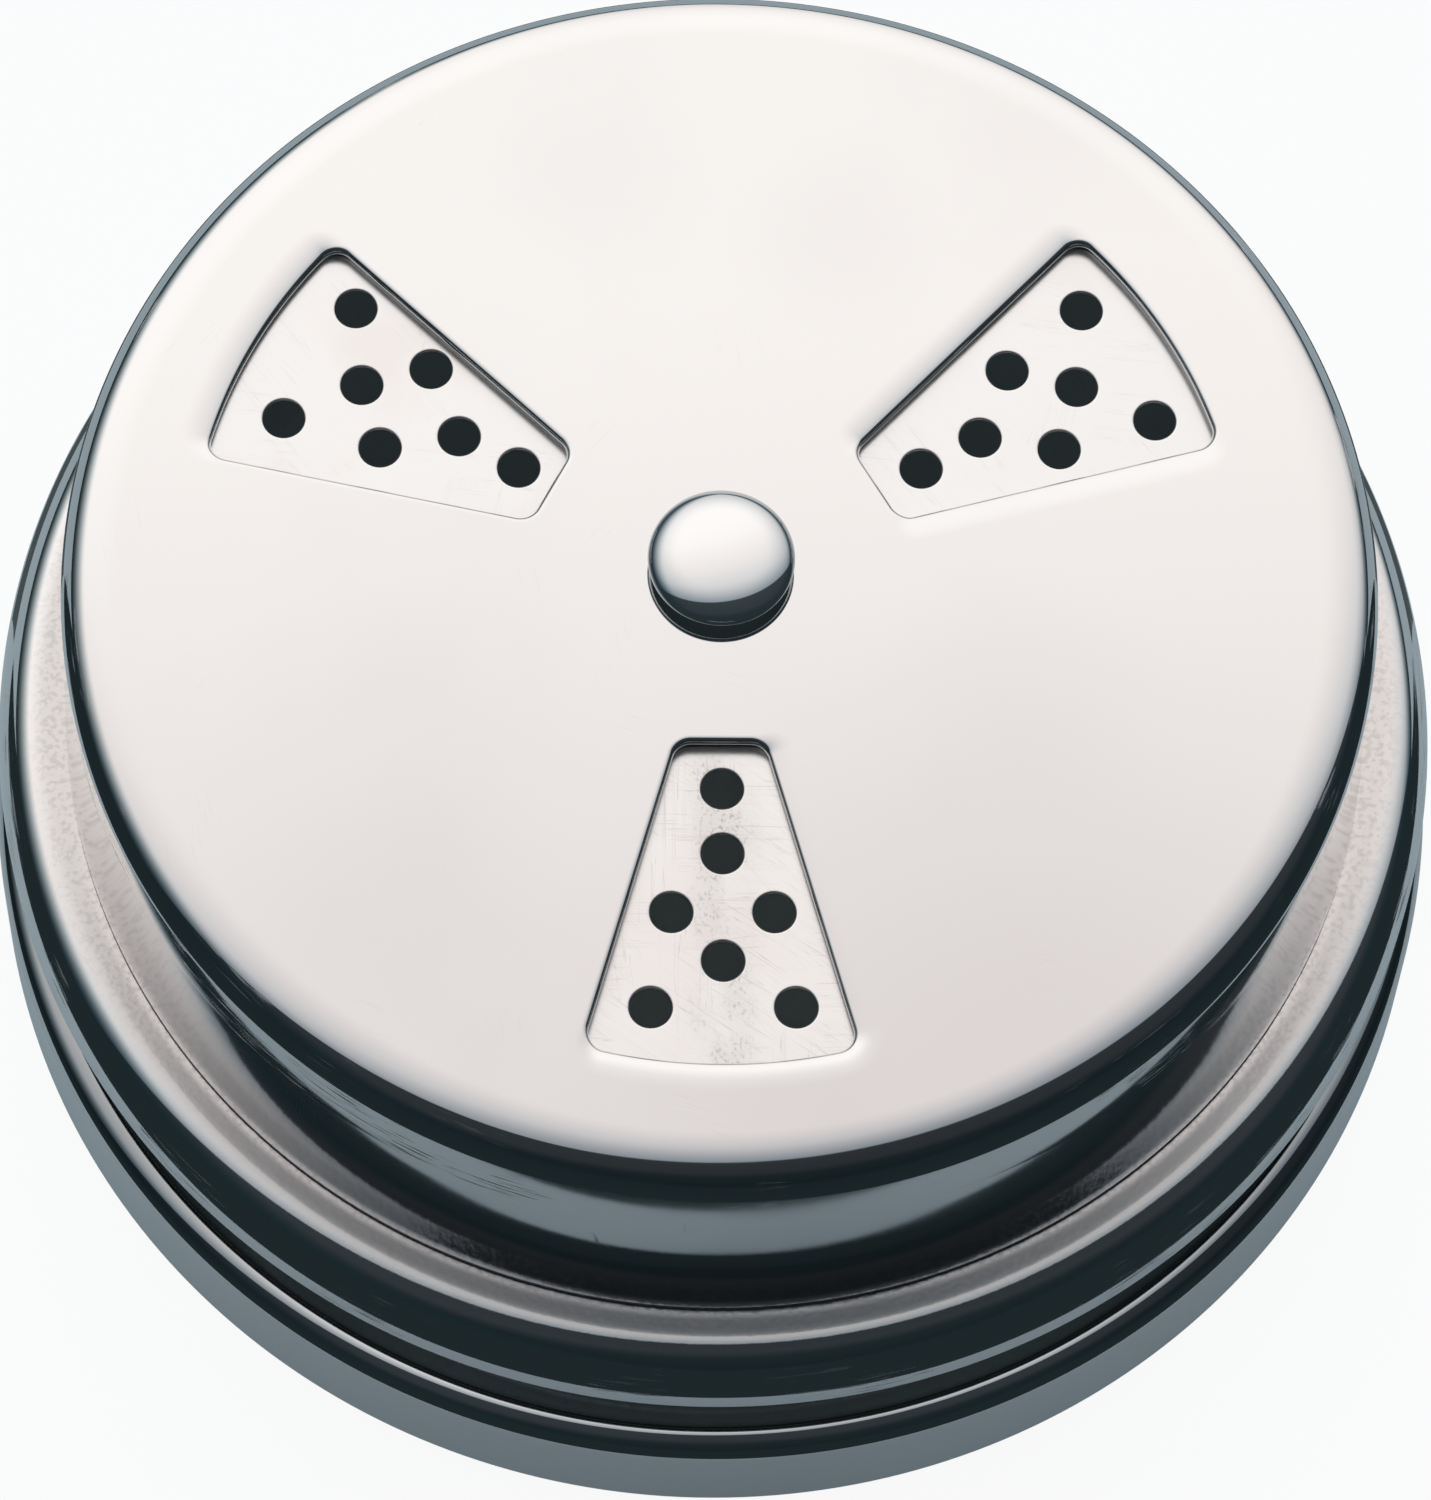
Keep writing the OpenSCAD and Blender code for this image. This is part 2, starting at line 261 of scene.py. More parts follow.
class Surface:
    """One material's object coordinates in metres, and the fields laid over them.

    Args:
        maker: the material's node maker.
    """

    SCRATCH_STRETCH = (70.0, 2600.0, 70.0)
    SCRATCH_EDGE = (0.012, 0.002)
    SCRATCH_PATCH_SCALE = 150.0
    SCRATCH_PATCH_TURN = 40.0
    SCRATCH_PATCH_EDGE = 0.06
    STREAK_LENGTH = 9.0
    STREAK_FINE = 5200.0
    STREAK_EDGE = (0.55, 0.66)
    STREAK_PATCH = Patches(170.0, 2.0, (0.48, 0.60))

    def __init__(self, maker: NodeMaker) -> None:
        """Makes the coordinates, their axes and the distance from the Z axis."""
        self.maker = maker
        self.place = maker.out(maker.make("ShaderNodeTexCoord"), "Object")
        self.x, self.y, self.z = maker.axes(self.place)
        self.ring = (self.x * self.x + self.y * self.y).root()

    def mix(self, factor: Any, first: Any, second: Any) -> Signal:
        """Mixes two colours."""
        return self.maker.mix_colour(factor, first, second)

    def joined(self, x: Any, y: Any, z: Any) -> Signal:
        """Three values as one vector."""
        return self.maker.out(self.maker.make("ShaderNodeCombineXYZ", {0: x, 1: y, 2: z}))

    def bump(self, height: Signal, distance: float, strength: float = 1.0) -> Signal:
        """The normal of a fine relief, with its height in metres."""
        sockets = {"Strength": strength, "Distance": distance, "Height": height}
        return self.maker.out(self.maker.make("ShaderNodeBump", sockets))

    def noise(
        self,
        scale: float,
        detail: float,
        stretch: Spot = (1.0, 1.0, 1.0),
        turn: float = 0.0,
        place: Signal | None = None,
    ) -> Signal:
        """A noise field.

        Args:
            scale: noise scale per metre.
            detail: noise detail.
            stretch: scale of each axis before the noise.
            turn: turn about the Z axis before the noise, in degrees.
            place: coordinates, where they aren't the object's.

        Returns:
            The noise from 0 to 1.
        """
        given = self.place if place is None else place
        rotation = (0, 0, math.radians(turn))
        turned = self.maker.make("ShaderNodeMapping", {"Vector": given, "Rotation": rotation})
        sockets = {"Vector": turned.outputs[0], "Scale": stretch}
        mapped = self.maker.make("ShaderNodeMapping", sockets)
        sockets = {"Vector": mapped.outputs[0], "Scale": scale, "Detail": detail}
        return self.maker.out(self.maker.make("ShaderNodeTexNoise", sockets))

    def patches(self, kind: Patches) -> Signal:
        """Soft patches, from 0 to 1."""
        return self.noise(kind.scale, kind.detail, kind.stretch, kind.turn).step(*kind.span)

    def scratches(self, turns: Sequence[float], share: float) -> Signal:
        """Fine scratches that run in a few directions and come in patches.

        Args:
            turns: the directions in degrees.
            share: noise level above which a patch is scratched; lower means more.

        Returns:
            A mask from 0 to 1.
        """
        total: Any = 0.0
        span = (share, share + self.SCRATCH_PATCH_EDGE)
        for turn in turns:
            stretched = self.noise(1.0, 2.0, self.SCRATCH_STRETCH, turn)
            line = (stretched - 0.5).abs().step(*self.SCRATCH_EDGE)
            patch_turn = turn + self.SCRATCH_PATCH_TURN
            kind = Patches(self.SCRATCH_PATCH_SCALE, 1.0, span, turn=patch_turn)
            total = (line * self.patches(kind)).larger(total)
        return total

    def streaks(self) -> Signal:
        """Fine streaks that run round the axis and come in patches.

        Returns:
            A mask from 0 to 1.
        """
        turn = self.y.angle(self.x) * self.STREAK_LENGTH
        spread = self.joined(turn, self.z * self.STREAK_FINE, self.ring * self.STREAK_FINE)
        line = self.noise(1.0, 2.0, place=spread).step(*self.STREAK_EDGE)
        return line * self.patches(self.STREAK_PATCH)


@dataclass(frozen=True)
class Finish:
    """A procedural finish on one Principled shader; subclasses say what varies.

    Spans are the two ends of a smooth step, in millimetres along the axis they name.
    """

    name: str
    colour: Colour
    roughness: float
    metallic: float = 1.0
    glow: Colour = BLACK

    def material(self) -> Material:
        """The material, made once.

        Returns:
            The finished material.
        """
        found = bpy.data.materials.get(self.name)
        if found is not None:
            return found
        made, maker = blank_material(self.name)
        sockets = {
            "Base Color": self.colour,
            "Roughness": self.roughness,
            "Metallic": self.metallic,
            "Emission Color": self.glow,
            "Emission Strength": float(self.glow != BLACK),
        }
        sockets.update(self.dress(Surface(maker)))
        shader = maker.make("ShaderNodeBsdfPrincipled", sockets)
        maker.make("ShaderNodeOutputMaterial", {"Surface": shader.outputs[0]})
        return made

    def dress(self, on: Surface) -> dict[str, Signal]:
        """What varies over the surface, by the shader's socket."""
        return {}

    def darker(self, share: float) -> Colour:
        """The finish's own colour, darkened."""
        return tuple(c * share for c in self.colour)


@dataclass(frozen=True)
class Stain:
    """A soft round blotch on a sheet, in millimetres; strength is its share of soiling."""

    x: float
    y: float
    radius: float
    strength: float


@dataclass(frozen=True)
class PolishedSteel(Finish):
    """Mirror polish, cloudy with wiping, with a few fine scratches."""

    name: str = "polished_steel_finish"
    colour: Colour = (0.72, 0.708, 0.70)
    soiled_and_shaded: Colour = (0.37, 0.342, 0.360)
    roughness: float = 0.04
    wiping: Patches = Patches(45.0, 4.0, (0.42, 0.78))
    smears: Patches = Patches(30.0, 3.0, (0.5, 0.8), (1.0, 4.0, 1.0), 25.0)
    wiped_soil: float = 0.08
    wiped_dull: float = 0.02
    scratch_turns: tuple[float, ...] = (18.0, 77.0, 131.0)
    scratch_share: float = 0.68
    scratch_tone: float = 0.05
    wave_scale: float = 130.0
    wave_height: float = 2.5e-6

    def dress(self, on: Surface) -> dict[str, Signal]:
        """Adds wiping clouds, what the piece has of soiling and painted shade, and scratches.

        Args:
            on: the surface.

        Returns:
            What varies, by the shader's socket.
        """
        cloud, smear = on.patches(self.wiping), on.patches(self.smears)
        marks = on.scratches(self.scratch_turns, self.scratch_share) * self.scratch_tone
        # the wiping clouds and scratches darken the tone, together with each piece's painted shade
        soil_and_painted_shade = (cloud * self.wiped_soil + self.soil_and_painted_shade(on) + marks).smaller(1.0)
        rough = self.roughness + cloud * self.wiped_dull + smear * self.wiped_dull
        return {
            "Base Color": on.mix(soil_and_painted_shade, self.colour, self.soiled_and_shaded),
            "Roughness": rough + marks + self.dull(on),
            "Normal": on.bump(on.noise(self.wave_scale, 1.0), self.wave_height),
        }

    def soil_and_painted_shade(self, on: Surface) -> Any:
        """The piece's own soiling and painted shade; a plain piece has none."""
        return 0.0

    def dull(self, on: Surface) -> Any:
        """What the piece has of unpolished places, as added roughness."""
        return 0.0


@dataclass(frozen=True)
class CoverSteel(PolishedSteel):
    """The cover's polish: painted shade that darkens the top towards the front window, with soft
    brown blotches.
    """

    name: str = "cover_steel_finish"
    front_painted_shade: float = 0.36
    front_painted_shade_y: Span = (20.0, -45.0)
    top_z: Span = (34.0, 36.4)
    lip_z: Span = (36.69, 36.55)
    lip_r: Span = (31.5, 30.5)
    lip_y: Span = (-26.2, -27.2)
    hem_z: Span = (33.5, 21.5)
    hem_painted_shade: float = 0.35
    edge_high_z: Span = (36.4, 36.1)
    edge_low_z: Span = (30.0, 31.0)
    edge_dull: float = 0.42
    stains: tuple[Stain, ...] = (
        Stain(15.0, -22.0, 24.0, 0.12),
        Stain(-6.0, 24.0, 9.0, 0.06),
        Stain(6.5, 20.0, 8.0, 0.07),
        Stain(16.0, -8.0, 9.0, 0.05),
        Stain(-17.0, -16.0, 14.0, 0.06),
    )

    def soil_and_painted_shade(self, on: Surface) -> Signal:
        """Painted shade towards the front and blotches on the flat top, none on the front window's
        outer lip, and painted shade on the lower skirt.

        Args:
            on: the surface.

        Returns:
            The share of soiling and painted shade.
        """
        # painted shade: the flat top is darkened towards the front
        total = on.y.over(self.front_painted_shade_y) * self.front_painted_shade
        for stain in self.stains:
            away = ((on.x - stain.x * MM) ** 2.0 + (on.y - stain.y * MM) ** 2.0).root()
            total = total + away.over((stain.radius, 0.0)) * stain.strength
        lip = on.z.over(self.lip_z) * on.ring.over(self.lip_r) * on.y.over(self.lip_y)
        # painted shade: the skirt is darkened downwards towards the ledge
        hem = on.z.over(self.hem_z) * self.hem_painted_shade
        return total * on.z.over(self.top_z) * (1.0 - lip) + hem

    def dull(self, on: Surface) -> Signal:
        """Fine streaks on the rounded edge."""
        edge = on.z.over(self.edge_high_z) * on.z.over(self.edge_low_z)
        return on.streaks() * edge * self.edge_dull


@dataclass(frozen=True)
class CupSteel(PolishedSteel):
    """The container: polished outside, dull as drawn inside, with painted shade inside and on the
    shoulder at the sides, and a painted faint glow in its hollows.
    """

    name: str = "cup_steel_finish"
    soiled_and_shaded: Colour = (0.22, 0.245, 0.26)
    # painted glow: faint emission that stands in for light in the hollows
    glow: Colour = (0.008, 0.011, 0.012)
    neck_r: Span = (32.3, 32.2)
    base_r: Span = (39.5, 39.4)
    ceiling_z: Span = (8.5, 8.4)
    floor_z: Span = (0.6, 0.7)
    inside_painted_shade: float = 0.25
    inside_dull: float = 0.5
    shoulder_z: Span = (8.0, 8.8)
    shoulder_x: Span = (14.0, 34.0)
    shoulder_painted_shade: float = 0.8
    gap_r: Span = (38.6, 38.2)
    gap_z: Span = (8.8, 8.9)

    def within(self, on: Surface) -> Signal:
        """The inside of the cup: 1 there, 0 outside."""
        base = on.ring.over(self.base_r) * on.z.over(self.ceiling_z)
        return on.ring.over(self.neck_r).larger(base) * on.z.over(self.floor_z)

    def soil_and_painted_shade(self, on: Surface) -> Signal:
        """Painted shade: a greyer tone inside the cup, and on the shoulder at the sides where the
        rim shades it.
        """
        # painted shade on the shoulder at the sides and inside the cup
        shoulder = on.z.over(self.shoulder_z) * on.x.abs().over(self.shoulder_x)
        return (self.within(on) * self.inside_painted_shade).larger(shoulder * self.shoulder_painted_shade)

    def dull(self, on: Surface) -> Signal:
        """A dull surface inside."""
        return self.within(on) * self.inside_dull

    def dress(self, on: Surface) -> dict[str, Signal]:
        """Adds a painted glow: a faint emission inside and in the gap under the rim, standing in
        for the light that reaches them.

        Args:
            on: the surface.

        Returns:
            What varies, by the shader's socket.
        """
        # painted glow inside the cup and in the gap under the rim
        gap = on.ring.over(self.gap_r) * on.z.over(self.gap_z)
        glow = on.mix(self.within(on).larger(gap), BLACK, self.glow)
        return {**super().dress(on), "Emission Color": glow}


@dataclass(frozen=True)
class RivetSteel(PolishedSteel):
    """The rivet's polish, with painted shade that greys it towards its rim, and a painted faint
    glow that lifts its dark side.
    """

    name: str = "rivet_steel_finish"
    soiled_and_shaded: Colour = (0.36, 0.40, 0.43)
    # painted glow: a faint emission over the whole rivet, seen in its dark side
    glow: Colour = (0.011, 0.016, 0.018)
    rim_r: Span = (2.2, 4.0)
    rim_painted_shade: float = 0.75

    def soil_and_painted_shade(self, on: Surface) -> Signal:
        """Painted shade: the grey towards the rim."""
        return on.ring.over(self.rim_r) * self.rim_painted_shade


@dataclass(frozen=True)
class SieveSteel(Finish):
    """The lid's sheet: plain mill finish on the sieve, satin ledge, polished rim."""

    name: str = "sieve_steel_finish"
    colour: Colour = (0.75, 0.738, 0.73)
    stained: Colour = (0.66, 0.60, 0.575)
    grime: Colour = (0.30, 0.29, 0.28)
    satin: Colour = (0.58, 0.556, 0.550)
    satin_front_painted_shade: Colour = (0.24, 0.245, 0.25)
    roughness: float = 0.06
    plate_roughness: float = 0.28
    satin_roughness: float = 0.14
    plate_z: Span = (35.3, 35.6)
    front_y: Span = (-9.5, -11.5)
    front_fan: Span = (1.2, -0.4)
    fan_slope: float = 0.36
    front_stain: float = 0.2
    stain: Patches = Patches(120.0, 4.0, (0.5, 0.75))
    stain_share: float = 0.35
    specks: Patches = Patches(6500.0, 6.0, (0.5, 0.7), (1.0, 0.6, 1.0))
    dirty: Patches = Patches(420.0, 2.0, (0.42, 0.62), (1.0, 0.4, 1.0))
    dirt_x: Span = (2.4, 0.4)
    dirt_film: float = 0.25
    dirt_least: float = 0.06
    dirt_tone: float = 0.55
    dirt_dull: float = 0.1
    dirt_relief: float = 0.3
    scuff_turns: tuple[float, ...] = (0.0, 90.0, 35.0)
    scuff_share: float = 0.45
    scuff_tone: float = 0.3
    mark_turns: tuple[float, ...] = (8.0, 52.0, 104.0)
    mark_share: float = 0.54
    mark_tone: float = 0.1
    mark_dull: float = 0.05
    ledge_r: Span = (38.1, 36.5)
    ledge_high_z: Span = (21.5, 20.5)
    ledge_low_z: Span = (17.8, 18.4)
    shade_y: Span = (-4.0, -34.0)
    shade_r: Span = (35.7, 36.2)
    fine_scale: float = 3200.0
    fine_edge: Span = (0.46, 0.64)
    fine_tone: float = 0.3
    fine_dull: float = 0.15
    peel_scale: float = 900.0
    wave_scale: float = 160.0
    wave_share: float = 0.3
    relief: float = 7e-6
    rim_z: Span = (19.0, 18.2)
    rim_dull: float = 0.5

    def dirt(self, on: Surface, front: Signal) -> Signal:
        """Specks of grime along the middle of the front window.

        Args:
            on: the surface.
            front: the plate before the front window.

        Returns:
            A mask from 0 to 1.
        """
        speck, patch = on.patches(self.specks), on.patches(self.dirty)
        film = speck * patch + patch * self.dirt_film + self.dirt_least
        return on.x.abs().over(self.dirt_x) * front * film

    def dress(self, on: Surface) -> dict[str, Signal]:
        """Adds stains and grime on the sieve, and satin with orange peel on the ledge, with
        painted shade that darkens the ledge towards the front.

        Args:
            on: the surface.

        Returns:
            What varies, by the shader's socket.
        """
        plate = on.z.over(self.plate_z)
        fan = (on.x.abs() + on.y * self.fan_slope).over(self.front_fan)
        front = on.y.over(self.front_y) * fan * plate
        heights = on.z.over(self.ledge_high_z) * on.z.over(self.ledge_low_z)
        ledge = on.ring.over(self.ledge_r) * heights
        dirt = self.dirt(on, front)
        scuffs = on.scratches(self.scuff_turns, self.scuff_share) * front
        marks = on.scratches(self.mark_turns, self.mark_share)
        fine = on.noise(self.fine_scale, 3.0)

        stain = on.patches(self.stain) * plate * self.stain_share
        tone = on.mix(stain, self.colour, self.stained)
        tone = on.mix(dirt * self.dirt_tone, tone, self.grime)
        tone = on.mix(scuffs * self.scuff_tone + marks * self.mark_tone, tone, self.grime)
        tone = on.mix(front * self.front_stain, tone, self.stained)
        # painted shade: the satin ledge darkens towards the front
        shade = on.y.over(self.shade_y) * on.ring.over(self.shade_r)
        satin = on.mix(shade, self.satin, self.satin_front_painted_shade)
        satin = on.mix(fine.step(*self.fine_edge) * self.fine_tone, satin, self.grime)

        rough = self.roughness + plate * (self.plate_roughness - self.roughness)
        rough = rough + dirt * self.dirt_dull + marks * self.mark_dull
        grain = (fine - 0.5) * self.fine_dull
        rough = rough + ledge * (self.satin_roughness - self.roughness + grain)
        rough = rough + on.streaks() * on.z.over(self.rim_z) * self.rim_dull
        peel = (on.noise(self.peel_scale, 2.0) + fine) * ledge
        relief = peel + on.noise(self.wave_scale, 1.0) * self.wave_share - dirt * self.dirt_relief
        return {
            "Base Color": on.mix(ledge, tone, satin),
            "Roughness": rough,
            "Normal": on.bump(relief, self.relief),
        }


@dataclass(frozen=True)
class TurnedSteel(Finish):
    """Plain spring steel with the rings that the tool left."""

    ring_scale: float = 9000.0
    rise_scale: float = 2000.0
    mottle: Patches = Patches(500.0, 4.0, (0.4, 0.8))
    mottle_share: float = 0.6
    dark_share: float = 0.7
    ring_dull: float = 0.2
    relief: float = 4e-6
    relief_share: float = 0.6

    def dress(self, on: Surface) -> dict[str, Signal]:
        """Adds fine rings to the roughness and relief, and a mottled tone.

        Args:
            on: the surface.

        Returns:
            What varies, by the shader's socket.
        """
        spread = on.joined(on.ring * self.ring_scale, on.z * self.rise_scale, 0.0)
        lines = on.noise(1.0, 2.0, place=spread)
        mottle = on.patches(self.mottle) * self.mottle_share
        return {
            "Base Color": on.mix(mottle, self.colour, self.darker(self.dark_share)),
            "Roughness": self.roughness + (lines - 0.5) * self.ring_dull,
            "Normal": on.bump(lines, self.relief, self.relief_share),
        }


@dataclass(frozen=True)
class Moulded(Finish):
    """Moulded plastic or silicone: a fine matt grain, slightly clouded."""

    metallic: float = 0.0
    grain: float = 2200.0
    cloud: Patches = Patches(220.0, 3.0, (0.4, 0.75))
    cloud_share: float = 0.5
    dark_share: float = 0.82
    grain_dull: float = 0.2
    relief: float = 1e-5
    relief_share: float = 0.5

    def dress(self, on: Surface) -> dict[str, Signal]:
        """Adds the grain, its gloss and a cloudy tone.

        Args:
            on: the surface.

        Returns:
            What varies, by the shader's socket.
        """
        fine = on.noise(self.grain, 3.0)
        cloud = on.patches(self.cloud) * self.cloud_share
        return {
            "Base Color": on.mix(cloud, self.colour, self.darker(self.dark_share)),
            "Roughness": self.roughness + (fine - 0.5) * self.grain_dull,
            "Normal": on.bump(fine, self.relief, self.relief_share),
        }


def add_object(name: str, data: Any) -> Object:
    """Adds an object to the scene.

    Args:
        name: its name.
        data: its mesh, light or camera.

    Returns:
        The object.
    """
    made = bpy.data.objects.new(name, data)
    bpy.context.scene.collection.objects.link(made)
    return made


@dataclass
class Outline:
    """A turned piece's section, drawn point by point with the axis at r = 0."""

    points: list[Point] = field(default_factory=list)

    def start(self, r: float, z: float) -> "Outline":
        """Puts the first point."""
        self.points = [(r, z)]
        return self

    def line(self, r: float, z: float) -> "Outline":
        """Draws a straight stretch, with a support point near each end.

        Args:
            r: distance of the end from the axis.
            z: height of the end.

        Returns:
            The outline, for the next stretch.
        """
        r0, z0 = self.points[-1]
        length = math.hypot(r - r0, z - z0)
        if length > 4 * SUPPORT:
            for share in (SUPPORT / length, 1 - SUPPORT / length):
                self.points.append((r0 + (r - r0) * share, z0 + (z - z0) * share))
        if length > LEAST_LENGTH:
            self.points.append((r, z))
        return self

    def arc(
        self,
        r: float,
        z: float,
        radius: float,
        start: float,
        end: float,
        step: float = 5.0,
        high: float | None = None,
    ) -> "Outline":
        """Draws an arc from the present point.

        Args:
            r: distance of the arc's centre from the axis.
            z: height of the centre.
            radius: the arc's radius.
            start: first angle in degrees, where the present point is.
            end: last angle in degrees.
            step: largest angle between two points, in degrees.
            high: half height of an oval arc; the radius where it isn't given.

        Returns:
            The outline, for the next stretch.
        """
        tall = radius if high is None else high
        count = max(2, math.ceil(abs(end - start) / step))
        for i in range(1, count + 1):
            angle = math.radians(start + (end - start) * i / count)
            self.points.append((r + radius * math.cos(angle), z + tall * math.sin(angle)))
        return self


class ShapeGroup:
    """A Geometry Nodes group with named inputs that ends in real geometry with a finish."""

    NAME: str
    INPUTS: dict[str, str]

    def __init__(self) -> None:
        """Makes the inputs, the subclass's own nodes and the end of the group."""
        self.tree = bpy.data.node_groups.new(self.NAME, "GeometryNodeTree")
        face = self.tree.interface
        self.inputs = {
            name: face.new_socket(name, in_out="INPUT", socket_type=kind).identifier
            for name, kind in self.INPUTS.items()
        }
        face.new_socket("Piece", in_out="OUTPUT", socket_type="NodeSocketGeometry")
        maker = NodeMaker(self.tree)
        given = maker.make("NodeGroupInput").outputs
        shape = self.shape(maker, given)
        real = maker.make("GeometryNodeRealizeInstances", {"Geometry": shape.outputs[0]})
        sockets = {"Geometry": real.outputs[0], "Material": given["Finish"]}
        dressed = maker.make("GeometryNodeSetMaterial", sockets)
        maker.make("NodeGroupOutput", {0: dressed.outputs[0]})

    def shape(self, maker: NodeMaker, given: Any) -> Node:
        """Adds the nodes that make the shape, and gives the last one."""
        raise NotImplementedError

    def run(
        self, points: Sequence[Spot], edges: Sequence[tuple[int, int]], values: dict[str, Any]
    ) -> Mesh:
        """Runs the group over points and edges and bakes what it makes.

        Args:
            points: the points, in metres.
            edges: the edges between them.
            values: the other inputs, by name.

        Returns:
            The baked mesh.
        """
        mesh = bpy.data.meshes.new(self.NAME)
        mesh.from_pydata(points, edges, [])
        holder = add_object(self.NAME, mesh)
        modifier = holder.modifiers.new(self.NAME, "NODES")
        modifier.node_group = self.tree
        for name, value in values.items():
            modifier[self.inputs[name]] = value
        graph = bpy.context.evaluated_depsgraph_get()
        baked = bpy.data.meshes.new_from_object(holder.evaluated_get(graph))
        bpy.data.objects.remove(holder)
        return baked


class Turning(ShapeGroup):
    """Turns a section about the Z axis."""

    NAME = "turning"
    INPUTS = {
        "Section": "NodeSocketGeometry",
        "Segments": "NodeSocketInt",
        "Core radius": "NodeSocketFloat",
        "Finish": "NodeSocketMaterial",
    }
    CORE = 0.0005

    def shape(self, maker: NodeMaker, given: Any) -> Node:
        """Sweeps the section round a small circle and merges what meets on the axis.

        Args:
            maker: the group's node maker.
            given: the group's inputs, by name.

        Returns:
            The last node.
        """
        sockets = {"Resolution": given["Segments"], "Radius": given["Core radius"]}
        path = maker.make("GeometryNodeCurvePrimitiveCircle", sockets, {"mode": "RADIUS"})
        section = maker.make("GeometryNodeMeshToCurve", {"Mesh": given["Section"]})
        sockets = {"Curve": path.outputs[0], "Profile Curve": section.outputs[0]}
        turned = maker.make("GeometryNodeCurveToMesh", sockets)
        sockets = {"Geometry": turned.outputs[0], "Distance": MERGE_DISTANCE}
        return maker.make("GeometryNodeMergeByDistance", sockets)

    def turn(self, section: Outline, finish: Material) -> Mesh:
        """Turns one section.

        Args:
            section: the section, in millimetres.
            finish: the material.

        Returns:
            The turned mesh, in metres.
        """
        points = [(r * MM - self.CORE, -z * MM, 0.0) for r, z in section.points]
        edges = [(i, i + 1) for i in range(len(points) - 1)]
        values = {"Segments": SEGMENTS, "Core radius": self.CORE, "Finish": finish}
        return self.run(points, edges, values)


class Punching(ShapeGroup):
    """Sets a collar at every hole of a perforated sheet."""

    NAME = "punching"
    INPUTS = {
        "Centres": "NodeSocketGeometry",
        "Collar": "NodeSocketObject",
        "Finish": "NodeSocketMaterial",
    }

    def shape(self, maker: NodeMaker, given: Any) -> Node:
        """Puts the collar on every point.

        Args:
            maker: the group's node maker.
            given: the group's inputs, by name.

        Returns:
            The last node.
        """
        collar = maker.make("GeometryNodeObjectInfo", {"Object": given["Collar"]})
        points = maker.make("GeometryNodeMeshToPoints", {"Mesh": given["Centres"]})
        sockets = {"Points": points.outputs[0], "Instance": collar.outputs["Geometry"]}
        return maker.make("GeometryNodeInstanceOnPoints", sockets)

    def punch(self, centres: Iterable[Point], z: float, collar: Mesh, finish: Material) -> Mesh:
        """Sets the collars.

        Args:
            centres: hole centres in millimetres.
            z: height of the sheet's upper face in millimetres.
            collar: the collar's mesh, about its own axis.
            finish: the material.

        Returns:
            All collars as one mesh.
        """
        shape = add_object("collar", collar)
        points = [(x * MM, y * MM, z * MM) for x, y in centres]
        made = self.run(points, [], {"Collar": shape, "Finish": finish})
        bpy.data.objects.remove(shape)
        return made


def ring_points(r: float, count: int = SEGMENTS) -> list[Point]:
    """Points round a circle, in millimetres, the first one on +X."""
    turns = [2 * math.pi * i / count for i in range(count)]
    return [(r * math.cos(turn), r * math.sin(turn)) for turn in turns]


def at_height(loop: Iterable[Point], z: float) -> list[Spot]:
    """A flat loop lifted to a height."""
    return [(x, y, z) for x, y in loop]


def plain_mesh(name: str, points: Iterable[Spot], faces: Sequence[Sequence[int]]) -> Mesh:
    """Makes a mesh from points and faces.

    Args:
        name: its name.
        points: the points, in millimetres.
        faces: the numbers of each face's points.

    Returns:
        The mesh, in metres.
    """
    mesh = bpy.data.meshes.new(name)
    mesh.from_pydata([(x * MM, y * MM, z * MM) for x, y, z in points], [], faces)
    return mesh


def flat_face(outer: Loop, holes: Sequence[Loop], z: float, up: bool) -> Mesh:
    """Fills a flat face that has holes in it.

    Args:
        outer: the outer loop in millimetres.
        holes: the loops of the holes.
        z: height in millimetres.
        up: True where the face looks up.

    Returns:
        The face as a mesh of triangles.
    """
    points: list[Vector] = []
    edges: list[tuple[int, int]] = []
    for loop in (outer, *holes):
        first, count = len(points), len(loop)
        points += [Vector(p) for p in loop]
        edges += [(first + i, first + (i + 1) % count) for i in range(count)]
    filled = geometry.delaunay_2d_cdt(points, edges, [], FILL_INSIDE, FILL_DISTANCE)
    made, faces = filled[0], filled[2]
    loops = [np.array(loop) for loop in holes]
    kept = []
    for face in faces:
        middle = np.mean([made[i] for i in face], axis=0)
        if not any(inside(middle, loop) for loop in loops):
            kept.append(face if up else face[::-1])
    return plain_mesh("flat", at_height(made, z), kept)


def inside(point: np.ndarray, loop: np.ndarray) -> bool:
    """Whether a point lies inside a closed loop.

    Args:
        point: x and y.
        loop: the loop's points.

    Returns:
        True where it lies inside.
    """
    x, y = point
    ahead = np.roll(loop, -1, axis=0)
    crosses = (loop[:, 1] > y) != (ahead[:, 1] > y)
    rise = np.where(crosses, ahead[:, 1] - loop[:, 1], 1.0)
    at = loop[:, 0] + (y - loop[:, 1]) * (ahead[:, 0] - loop[:, 0]) / rise
    return bool(np.count_nonzero(crosses & (x < at)) % 2)


def band(loops: Sequence[Sequence[Spot]]) -> Mesh:
    """Joins closed loops of equal length into a band of quads.

    Args:
        loops: the loops, in millimetres.

    Returns:
        The band as a mesh.
    """
    count = len(loops[0])
    faces = []
    for low in range(0, (len(loops) - 1) * count, count):
        for i in range(count):
            ahead = (i + 1) % count
            faces.append((low + i, low + ahead, low + count + ahead, low + count + i))
    return plain_mesh("band", [spot for loop in loops for spot in loop], faces)


